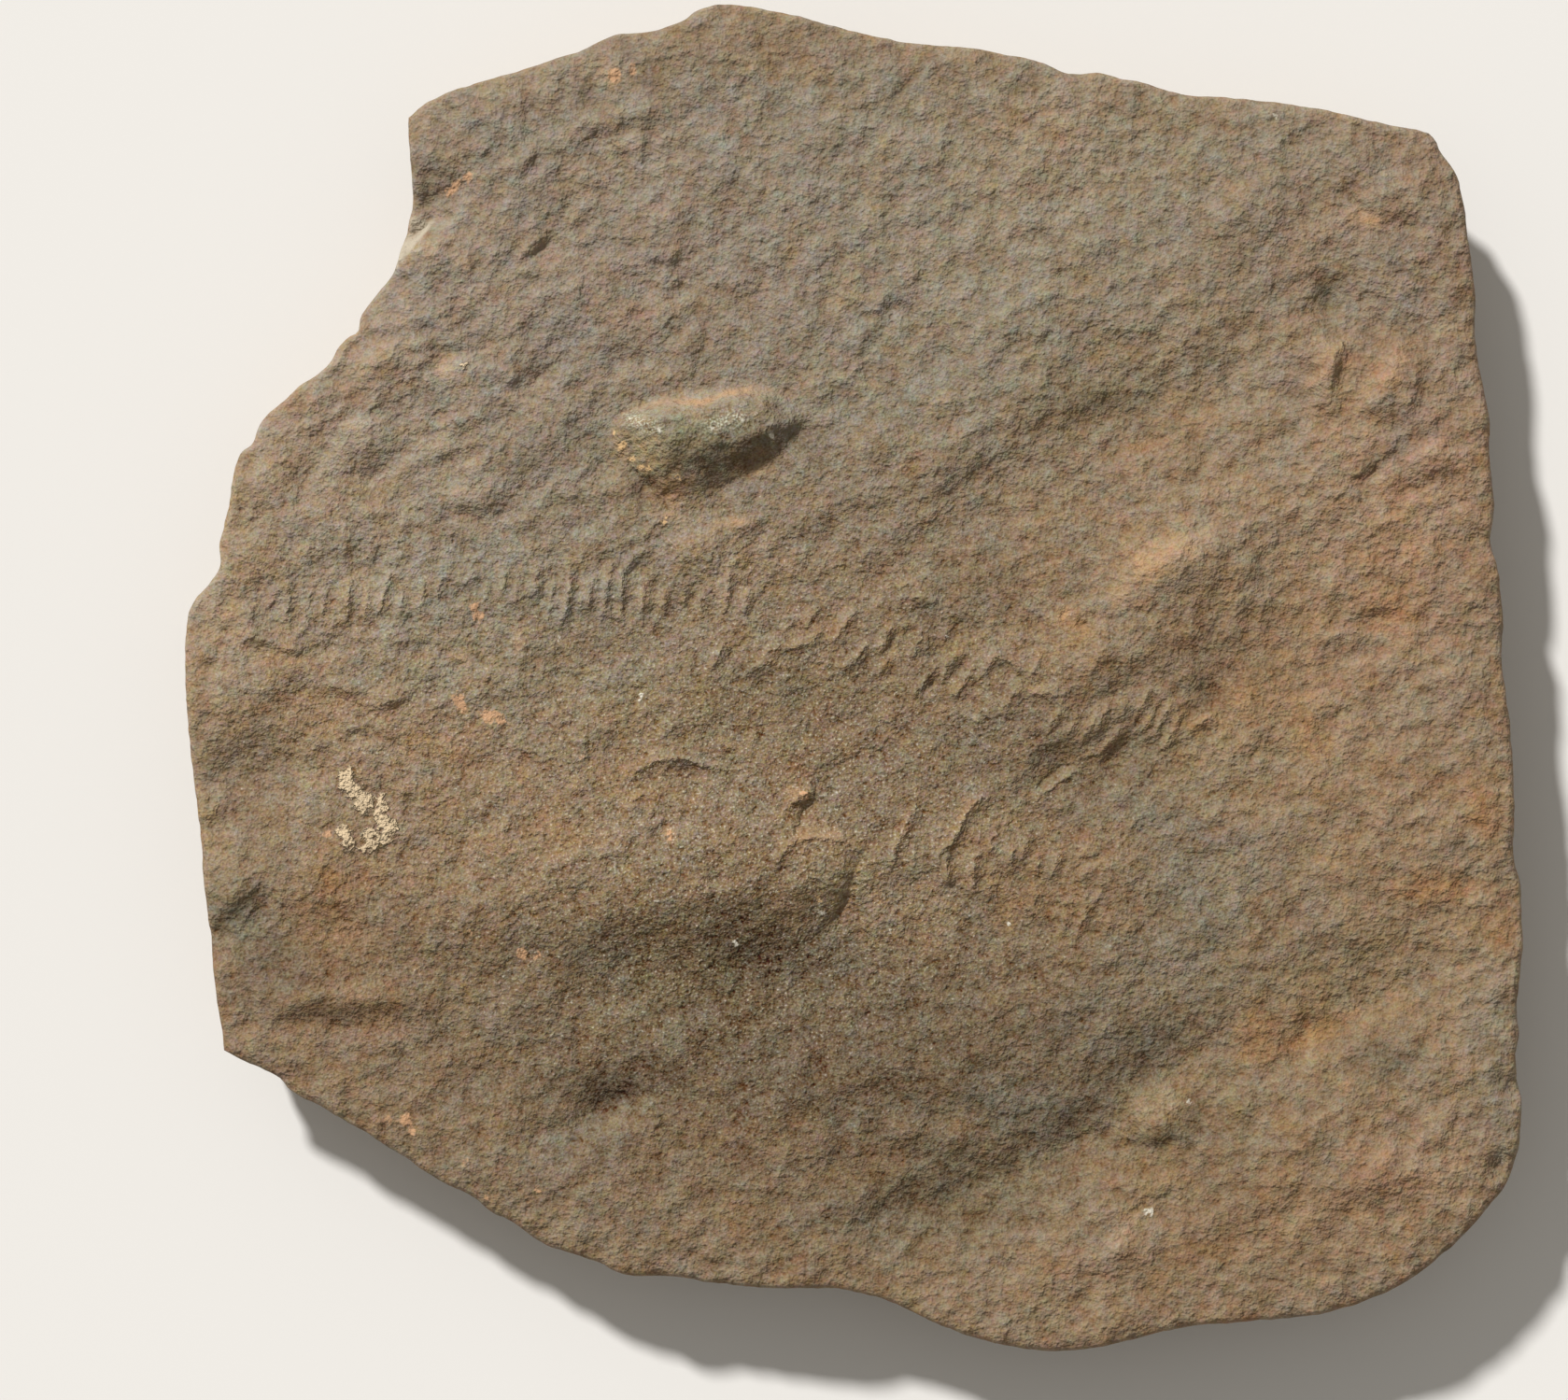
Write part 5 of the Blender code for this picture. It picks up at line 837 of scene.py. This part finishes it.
# Small round marks. Each row: x, y, radius.
CREAM_DOTS = [
    (-31.2, 31.3, 0.8), (-29.9, 29.5, 0.6), (-28.5, 28.3, 0.5), (-27.3, 28.2, 0.5),
    (-23.6, 26.8, 0.5), (-25.6, 21.0, 0.6), (-31.9, 33.0, 0.4), (-4.9, -29.7, 0.4),
]
RUST_DOTS = [
    (-51.1, 9.6, 0.7), (-50.5, 8.4, 0.9), (-53.2, -2.8, 0.9), (-52.5, -4.0, 0.8),
    (-49.0, -5.0, 1.0), (-47.3, -5.5, 0.8), (-44.4, -37.0, 0.9), (-42.5, -37.1, 0.6),
    (-51.6, -34.4, 0.6), (-24.6, -21.2, 0.7), (-32.1, 81.0, 1.1), (-29.6, 81.8, 0.8),
    (-54.5, 65.4, 0.8), (-53.3, 66.3, 0.8), (-51.8, 67.4, 0.9), (-62.6, -59.4, 0.7),
    (-60.1, -59.2, 0.9), (-59.4, -60.7, 0.7), (-52.0, -65.1, 0.6), (-6.6, -15.6, 0.7),
    (-49.3, -69.6, 0.6), (-42.5, -68.5, 0.6), (-70.6, -20.8, 0.7), (-36.5, -10.2, 0.5),
]
FLECKS = [
    (-39.5, 5.2, 0.35), (-28.8, -2.6, 0.35), (-16.0, -35.6, 0.35), (-4.0, -31.3, 0.5),
    (20.8, -33.0, 0.35), (5.3, -33.5, 0.35), (12.5, 5.5, 0.3), (32.1, -61.7, 0.9),
    (45.3, -56.9, 0.5), (39.7, -71.6, 0.8), (30.2, 76.3, 0.45), (17.4, 77.4, 0.35),
    (56.5, 75.5, 0.5), (-30.0, 34.9, 0.3), (-26.0, 33.2, 0.5), (-18.8, 33.6, 0.5),
    (-14.7, 34.3, 0.4), (-13.0, 35.3, 0.4), (-10.9, 32.5, 0.4),
]
# Pale quartz grains and a painted highlight along the nodule's crest: lines, and their half-width.
BROW_GRAINS_AND_HIGHLIGHT = [
    [(-31.0, 35.6), (-29.2, 34.6), (-27.4, 33.7), (-25.4, 32.8)],
    [(-20.2, 33.6), (-18.4, 34.2), (-16.4, 34.8), (-14.0, 35.4)],
]
BROW_WIDTH = 0.9
# Rusty seams and patches. The first two rows are partly painted light: orange on the nodule's lit
# upper edge and lit left end; the fourth is orange painted light on the lit rim below it. Each row:
# a line, its half-width and its strength.
ORANGE_SEAMS_AND_LIT_EDGES = [
    ([(-31.6, 35.4), (-28.6, 36.6), (-25.0, 37.1), (-20.4, 37.0), (-17.0, 38.2), (-13.0, 38.7),
      (-9.6, 38.0)], 0.45, 1.0),
    ([(-32.4, 32.6), (-31.6, 31.0), (-30.2, 29.2)], 0.6, 0.7),
    ([(-26.6, 24.6), (-24.0, 24.0)], 0.6, 0.7),
    ([(-19.4, 20.9), (-16.0, 20.9), (-13.4, 21.4)], 0.7, 0.8),
    ([(-14.2, 27.6), (-11.2, 28.8)], 0.5, 0.6),
    ([(-27.4, 22.4), (-22.0, 21.4)], 0.6, 0.4), ([(27.6, 7.4), (28.8, 9.6)], 0.5, 0.8),
    ([(29.2, 7.3), (32.2, 6.8)], 0.5, 0.9), ([(-9.2, -14.4), (-7.4, -16.4)], 0.7, 0.6),
    ([(-8.6, -21.6), (-5.0, -20.8), (-0.4, -22.2)], 1.2, 0.6),
    ([(13.8, -19.0), (16.6, -16.4)], 0.6, 0.6),
    ([(-25.4, -19.8), (-23.6, -22.2)], 0.8, 0.6), ([(60.4, 38.4), (63.4, 44.0)], 0.8, 0.5),
    ([(65.4, 39.4), (67.6, 44.4)], 0.7, 0.5), ([(72.0, 38.6), (74.6, 45.4)], 0.8, 0.5),
    ([(62.0, -30.0), (70.0, -33.0)], 1.6, 0.35), ([(-53.0, 3.0), (-51.0, 2.6)], 0.9, 0.5),
    ([(-46.0, 4.4), (-44.0, 5.0)], 0.8, 0.5), ([(44.0, 17.6), (46.0, 16.0)], 1.2, 0.6),
    ([(37.0, 14.0), (42.0, 16.6)], 1.6, 0.5), ([(34.0, 10.0), (37.0, 12.0)], 1.2, 0.4),
    ([(78.0, 29.4), (80.0, 28.6)], 1.0, 0.5), ([(50.0, -20.0), (55.0, -16.0)], 1.4, 0.35),
    ([(-36.0, -20.0), (-33.0, -24.0)], 1.6, 0.35), ([(-9.0, -33.0), (-6.0, -28.0)], 1.0, 0.4),
    ([(-70.0, -33.0), (-64.0, -35.0)], 1.8, 0.4), ([(60.0, -72.0), (70.0, -70.0)], 2.0, 0.3),
    ([(66.6, 62.6), (71.0, 61.2)], 0.8, 0.6), ([(24.0, 20.6), (28.0, 23.0)], 0.6, 0.4),
]
SEAM_FADE = 0.5            # how blunt the ends of the seams and of the brow's lines are
# The ribs, lips and slits whose crests the finish sharpens: in how many sets they are kept, how far
# from a line its set reaches, and how strong a lip of 1 mm is among them.
LINE_FIELDS = 2
LINE_REACH = 0.9
LIP_SHARPNESS = 0.3


def line_fields(x, y, lines):
    """For every place, its distance from a line near it and how strong that line is there.

    Lines that lie side by side go into different fields, each into the one where the least is near
    it. A line's strength is its own number, tapering to its ends and in a bell curve to its sides.
    """
    distances = np.full((LINE_FIELDS, len(x)), LINE_REACH)
    strengths = np.zeros((LINE_FIELDS, len(x)))
    for points, strength in lines:
        near, distance, share = beside(x, y, points, 2 * LINE_REACH)
        fall = np.exp(-(distance / LINE_REACH) ** 2)
        crowd = (np.abs(strengths[:, near]) * fall).max(axis=1)
        field = crowd.argmin()
        here = np.flatnonzero(near)
        gain = strength * taper(share, TRACK_FADE) * fall
        wins = np.abs(gain) > np.abs(strengths[field, here])
        distances[field, here[wins]] = distance[wins]
        strengths[field, here[wins]] = gain[wins]
    return distances, strengths


def slab_masks(x, y, z):
    """The stains at each point of the skin, one array each; the sides and the underside have their own.

    The pale, orange and brow stains on the face are partly painted light and shade.
    """
    side = np.clip((FACE_LEVEL - SIDE_START - z) / SIDE_BLEND, 0, 1)
    change = SIDE_CHANGE * lumps(x, y, z, SIDE_CHANGE_SIZE, SIDE_CHANGE_SEED)
    stains = {
        "warm": (WARM_BASE + swells(x, y, WARM_STAINS), SIDE_WARM + change),
        "olive": (swells(x, y, OLIVE_STAINS), SIDE_OLIVE),
        # On the face the pale stain also carries painted shade and painted highlights.
        "pale": (swells(x, y, TONE_AND_PAINTED_SHADING), SIDE_PALE + change),
        "grain": (GRAIN_BASE + swells(x, y, GRAIN_STAINS), 1),
        "chipped": (np.clip(chip(x, y) / CHIP_EDGE, 0, 1), 0),
        "brow": (sum(ridge(x, y, line, BROW_WIDTH, BROW_WIDTH, SEAM_FADE) for line in BROW_GRAINS_AND_HIGHLIGHT), 0),
        "orange": (sum(
            strength * ridge(x, y, line, width, width, SEAM_FADE) for line, width, strength in ORANGE_SEAMS_AND_LIT_EDGES
        ), 0),
    }
    masks = {name: on_face * (1 - side) + on_side * side for name, (on_face, on_side) in stains.items()}
    for name, marks in (("crust", CRUST), ("dots", RUST_DOTS), ("flecks", FLECKS), ("cream", CREAM_DOTS)):
        masks[name] = np.where(side > 0, -1, spots(x, y, marks))
    carved = [(points, -depth) for points, depth in SLITS]
    lips = [(points, LIP_SHARPNESS * rise) for points, rise in LIPS]
    distances, strengths = line_fields(x, y, UPPER_TRACK + LOWER_TRACK + carved + lips)
    for k in range(LINE_FIELDS):
        masks[f"line_{k}"] = distances[k]
        masks[f"line_strength_{k}"] = (1 - side) * strengths[k]
    return masks


# ---- the finish
GREY_STONE = (0.2180, 0.1790, 0.1260, 1.0)
RUSTY_STONE = (0.2755, 0.1660, 0.0872, 1.0)
BARE_STONE = (0.45, 0.40, 0.31, 1.0)
CRUST_COLOUR = (0.70, 0.55, 0.36, 1.0)
CREAM_COLOUR = (0.72, 0.48, 0.24, 1.0)
DOT_COLOUR = (0.62, 0.36, 0.20, 1.0)
FLECK_COLOUR = (0.75, 0.72, 0.62, 1.0)
ORANGE_COLOUR = (0.50, 0.29, 0.14, 1.0)
BROW_COLOUR = (0.62, 0.63, 0.50, 1.0)
# What the skin of the stone is made of, from broad blotches down to single grains of sand. Each is a
# noise: its size, the number of finer layers in it, and the strength of each beside the last.
BLOTCHES = (7.0, 2.0, 0.5)
MOTTLES = (2.4, 3.0, 0.6)
PATCHES = (1.9, 2.0, 1.0)
GRIT = (0.8, 2.0, 0.6)
GRAINS = (0.3, 0.0, 0.5)
MOTTLE_FADE = (-0.7, 1.94)  # the mottles' strength: this many times the grain stain, plus this
GRIT_BASE = 0.35           # the grit's strength where the grain stain is 0
PIT_EDGE = 0.08            # the pits are where the grit is lower than this below its middle
# How high each stands
MOTTLE_RELIEF = 0.75
GRIT_RELIEF = 0.33
PIT_RELIEF = 0.2
CRUST_RELIEF = 0.3
CRUST_GRIT_RELIEF = 0.5
# How far each makes the stone brighter or darker; for the pits that is painted shade in them, and for
# the lines a painted highlight on each crest and painted shade in its groove
MOTTLE_SHADE = 0.8
GRIT_SHADE = 0.60
PIT_PAINTED_SHADE = 0.8
LINE_PAINTED_LIGHT = 0.2
GRAIN_SHADE = 0.8
# How far the patches, the blotches and the grains make it more rusty, and more olive
RUST_GAINS = (2.4, 1.1, 0.7)
OLIVE_GAINS = (7.0, 0.6, 5.0)
# How much of the rust, of the olive and of the shading each of red, green and blue takes: dark spots
# are redder than light ones
COLOUR_GAINS = ((0.16, -0.02, 0.72), (-0.12, 0.045, 1.0), (-0.38, -0.05, 1.28))
BRIGHTNESS = 1.04
MOST_RUST = 1.5            # how rusty the stone may get, where 1 is RUSTY_STONE
# A rib's sharp crest: the height at full strength, the half-width, how much of it is a groove on the
# steep side, and how far the grit bends it.
LINE_RELIEF = 0.26
LINE_WIDTH = 0.5
LINE_LEAN = 1.1
LINE_BEND = 0.8
# The gloss: how rough the stone is, how much less rough its light grains are, and how it shines
ROUGHNESS = 0.86
GRAIN_ROUGHNESS = -0.5
SHINE = 0.35
SHARP_ANGLE = 55           # degrees between two faces past which their edge is shaded sharp


def stone_material():
    """Sand grains under a skin of iron stain.

    The warm stain mixes grey with rusty stone. Red, green and blue are then each multiplied by 1
    plus a share of the rust and of the olive, and by the brightness plus the pale stain, which also
    carries painted shade and painted highlights, plus a share of the fine shading: mottles, grit,
    pits, crests and grains, where the pits are painted shade and the crests bring a painted highlight
    and painted shade in their grooves. Orange seams, partly orange painted light on the nodule's lit
    edges, the brow's quartz and painted highlight, the bare chip, crust, rust dots, flecks, cream dots
    and the brightest sand grains, partly painted glints, are laid over it. The bump is made of the same
    mottles, grit, pits and crests.
    """
    material = bpy.data.materials.new("sandstone")
    material.use_nodes = True
    tree = material.node_tree
    shader = tree.nodes["Principled BSDF"]
    place = tree.nodes.new("ShaderNodeTexCoord").outputs["Object"]

    def node(kind, values=(), **settings):
        """Adds a node with its settings, and fills its first inputs with plain values or links."""
        made = tree.nodes.new("ShaderNode" + kind)
        for name, value in settings.items():
            setattr(made, name, value)
        for socket, value in zip(made.inputs, values):
            if isinstance(value, bpy.types.NodeSocket):
                tree.links.new(value, socket)
            elif value is not None:
                socket.default_value = value
        return made

    def maths(operation, *values, clamp=False):
        """One step of arithmetic on values or links."""
        return node("Math", values, operation=operation, use_clamp=clamp).outputs[0]

    def noise(size, detail, roughness):
        """Soft noise about 0, from -0.5 to 0.5, with lumps of this size in millimetres."""
        made = node("TexNoise", [place, None, 1 / (size * MILLIMETRE), detail, roughness])
        return maths("SUBTRACT", made.outputs["Fac"], 0.5)

    def stain(name):
        """One of the stains that slab_masks puts on the points of the mesh."""
        return node("Attribute", attribute_name=name).outputs["Fac"]

    def mix(share, first, second, blend="MIX"):
        """The first colour with a share of the second laid over it; a share above 1 goes on past it."""
        made = node("Mix", data_type="RGBA", blend_type=blend, clamp_factor=False)
        for socket, value in ((0, share), (6, first), (7, second)):
            if isinstance(value, bpy.types.NodeSocket):
                tree.links.new(value, made.inputs[socket])
            else:
                made.inputs[socket].default_value = value
        return made.outputs[2]

    def two_noises(size, detail, roughness):
        """Two unlike soft noises about 0, with lumps of this size in millimetres."""
        made = node("TexNoise", [place, None, 1 / (size * MILLIMETRE), detail, roughness])
        channels = node("SeparateColor", [made.outputs["Color"]])
        return [maths("SUBTRACT", channels.outputs[k], 0.5) for k in (0, 1)]

    def total(weighted, start=0.0):
        """The sum of values, each times its weight, added to a start."""
        for value, weight in weighted:
            start = maths("MULTIPLY_ADD", value, weight, start)
        return start

    def marks(name, frayed, steepness):
        """1 inside the marks of this attribute and 0 outside: grit frays the edge, which rises steeply."""
        edge = maths("MULTIPLY_ADD", grit, frayed, stain(name))
        return maths("MULTIPLY", edge, steepness, clamp=True)

    blotch = noise(*BLOTCHES)
    mottle = maths("MULTIPLY", noise(*MOTTLES), maths("MULTIPLY_ADD", stain("grain"), *MOTTLE_FADE))
    grit = maths("MULTIPLY", noise(*GRIT), maths("ADD", stain("grain"), GRIT_BASE))
    pits = maths("MINIMUM", maths("ADD", grit, PIT_EDGE), 0.0)
    grain_shade, grain_hue = (maths("MULTIPLY", part, stain("grain")) for part in two_noises(*GRAINS))
    rusty_patch, olive_patch = two_noises(*PATCHES)

    # A rib's crest and the groove beside it: a bell curve of the distance, times a sloping line.
    lines = 0.0
    for k in range(LINE_FIELDS):
        off = maths("DIVIDE", maths("MULTIPLY_ADD", grit, LINE_BEND, stain(f"line_{k}")), LINE_WIDTH)
        fall = maths("EXPONENT", maths("MULTIPLY", maths("MULTIPLY", off, off), -1.0))
        profile = maths("MULTIPLY", fall, maths("MULTIPLY_ADD", off, LINE_LEAN, 1.0))
        lines = maths("MULTIPLY_ADD", profile, stain(f"line_strength_{k}"), lines)

    rust = total(zip((rusty_patch, blotch, grain_hue), RUST_GAINS))
    olive = total(zip((olive_patch, blotch, grain_hue), OLIVE_GAINS), stain("olive"))
    # In the fine shading the pits are painted shade, and the lines paint a highlight on each crest and
    # shade in its groove.
    shades = (MOTTLE_SHADE, GRIT_SHADE, PIT_PAINTED_SHADE, LINE_PAINTED_LIGHT, GRAIN_SHADE)
    fine = total(zip((mottle, grit, pits, lines, grain_shade), shades))
    warm = maths("MINIMUM", maths("MAXIMUM", stain("warm"), 0.0), MOST_RUST)
    # The pale stain brings painted shade and painted highlights as well as the stone's own tone.
    shade = maths("ADD", BRIGHTNESS, stain("pale"))
    tints = []
    for rust_gain, olive_gain, fine_gain in COLOUR_GAINS:
        tint = total(((rust, rust_gain), (olive, olive_gain)), 1.0)
        tints.append(maths("MULTIPLY", tint, maths("MULTIPLY_ADD", fine, fine_gain, shade)))
    colour = mix(warm, GREY_STONE, RUSTY_STONE)
    colour = mix(1.0, colour, node("CombineColor", tints).outputs[0], "MULTIPLY")

    # Each layer laid over the stone: where it shows, how much of the stone it hides, and its colour.
    # The last is the brightest of the sand grains: partly pale quartz, partly painted glints of light.
    crust = marks("crust", 2.0, 3.0)
    layers = [
        # Orange seams, and orange painted light on the nodule's lit edges and the lit rim below it.
        (maths("MULTIPLY", stain("orange"), maths("MULTIPLY_ADD", mottle, 1.6, 0.6), clamp=True),
         0.75, ORANGE_COLOUR),
        # Pale grains and a painted highlight along the nodule's crest.
        (maths("MULTIPLY", stain("brow"), maths("MULTIPLY_ADD", grain_shade, 6.0, 0.3), clamp=True),
         0.6, BROW_COLOUR),
        (stain("chipped"), 0.85, BARE_STONE),
        (crust, 0.85, CRUST_COLOUR),
        (marks("dots", 1.5, 3.0), 0.75, DOT_COLOUR),
        (marks("flecks", 1.6, 4.0), 0.8, FLECK_COLOUR),
        (marks("cream", 1.6, 4.0), 0.85, CREAM_COLOUR),
        (maths("MULTIPLY_ADD", grain_shade, 8.0, -2.0, clamp=True), 0.3, FLECK_COLOUR),
    ]
    for where, cover, layer_colour in layers:
        colour = mix(maths("MULTIPLY", where, cover), colour, layer_colour)
    tree.links.new(colour, shader.inputs["Base Color"])

    reliefs = (GRIT_RELIEF, PIT_RELIEF, MOTTLE_RELIEF, LINE_RELIEF)
    relief = total(zip((grit, pits, mottle, lines), reliefs))
    crust_relief = maths("MULTIPLY_ADD", grit, CRUST_GRIT_RELIEF, CRUST_RELIEF)
    relief = maths("MULTIPLY_ADD", crust, crust_relief, relief)
    bump = node("Bump")
    bump.inputs["Strength"].default_value = 1.0
    bump.inputs["Distance"].default_value = MILLIMETRE
    tree.links.new(relief, bump.inputs["Height"])
    tree.links.new(bump.outputs["Normal"], shader.inputs["Normal"])

    rough = maths("MULTIPLY_ADD", grain_shade, GRAIN_ROUGHNESS, ROUGHNESS)
    tree.links.new(rough, shader.inputs["Roughness"])
    shader.inputs["Specular IOR Level"].default_value = SHINE
    return material


def add_slab():
    """The slab's mesh, with a stain on every point, and its finish."""
    points, faces = slab_points_and_faces()
    mesh = bpy.data.meshes.new("trackway_stone")
    mesh.from_pydata((points * MILLIMETRE).tolist(), [], faces)
    for name, values in slab_masks(*points.T).items():
        mesh.attributes.new(name, "FLOAT", "POINT").data.foreach_set("value", values)
    mesh.materials.append(stone_material())
    mesh.shade_smooth()
    mesh.set_sharp_from_angle(angle=np.radians(SHARP_ANGLE))
    stone = bpy.data.objects.new("trackway_stone", mesh)
    bpy.context.scene.collection.objects.link(stone)
    return stone


stone = add_slab()
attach(stone, "root")
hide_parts("trackway_slab")

# ================================================================ the table
# A wide pale table top with a dull finish, which the slab lies on.

FLOOR_HALF_WIDTH = 3.0     # metres
FLOOR_COLOUR = (0.80, 0.795, 0.785, 1.0)


def add_floor():
    """One square face at the rest plane, with a plain pale finish."""
    side = FLOOR_HALF_WIDTH
    mesh = bpy.data.meshes.new("table_top")
    corners = [(-side, -side, 0), (side, -side, 0), (side, side, 0), (-side, side, 0)]
    mesh.from_pydata(corners, [], [(0, 1, 2, 3)])
    material = bpy.data.materials.new("pale_table")
    material.use_nodes = True
    shader = material.node_tree.nodes["Principled BSDF"]
    shader.inputs["Base Color"].default_value = FLOOR_COLOUR
    shader.inputs["Roughness"].default_value = 0.8
    mesh.materials.append(material)
    floor = bpy.data.objects.new("table_top", mesh)
    bpy.context.scene.collection.objects.link(floor)
    return floor


add_floor()

# ================================================================ the light and the camera
# One large soft lamp stands high on the upper left and grazes the ribs, with even light from all
# round. The camera looks straight down on the face, a little left of and below its middle.

LAMP_TURN = 125            # degrees from +X, seen from above, to where the lamp stands
LAMP_RISE = 38             # degrees above the table
LAMP_STRENGTH = 4.0
LAMP_SPREAD = 5            # degrees across, as the slab sees it
LAMP_COLOUR = (1.0, 0.975, 0.94)
SKY_STRENGTH = 0.31
SKY_COLOUR = (1.0, 0.95, 0.865, 1.0)


def add_light():
    """A lamp as far off as the sun, turned towards the slab, and the even light of the room."""
    lamp = bpy.data.lights.new("studio_lamp", "SUN")
    lamp.energy = LAMP_STRENGTH
    lamp.angle = np.radians(LAMP_SPREAD)
    lamp.color = LAMP_COLOUR
    turn, rise = np.radians([LAMP_TURN, LAMP_RISE])
    way = Vector((np.cos(turn) * np.cos(rise), np.sin(turn) * np.cos(rise), np.sin(rise)))
    holder = bpy.data.objects.new("studio_lamp", lamp)
    holder.rotation_euler = way.to_track_quat("Z", "Y").to_euler()
    bpy.context.scene.collection.objects.link(holder)
    world = bpy.data.worlds.new("studio")
    world.use_nodes = True
    sky = world.node_tree.nodes["Background"]
    sky.inputs["Color"].default_value = SKY_COLOUR
    sky.inputs["Strength"].default_value = SKY_STRENGTH
    bpy.context.scene.world = world


add_light()

CAMERA_MIDDLE = (-9.35, -2.9)
CAMERA_HEIGHT = 600        # above the face
FRAME_WIDTH = 210.7        # what the picture takes in from side to side, at the face
SENSOR_WIDTH = 36


def add_camera():
    """A camera straight above the face, with the lens that takes in the frame's width."""
    camera = bpy.data.cameras.new("camera")
    camera.sensor_fit = "HORIZONTAL"
    camera.sensor_width = SENSOR_WIDTH
    camera.lens = SENSOR_WIDTH * CAMERA_HEIGHT / FRAME_WIDTH
    holder = bpy.data.objects.new("camera", camera)
    holder.location = [v * MILLIMETRE for v in (*CAMERA_MIDDLE, FACE_LEVEL + CAMERA_HEIGHT)]
    bpy.context.scene.collection.objects.link(holder)
    bpy.context.scene.camera = holder


add_camera()
bpy.context.scene.view_settings.view_transform = "Standard"
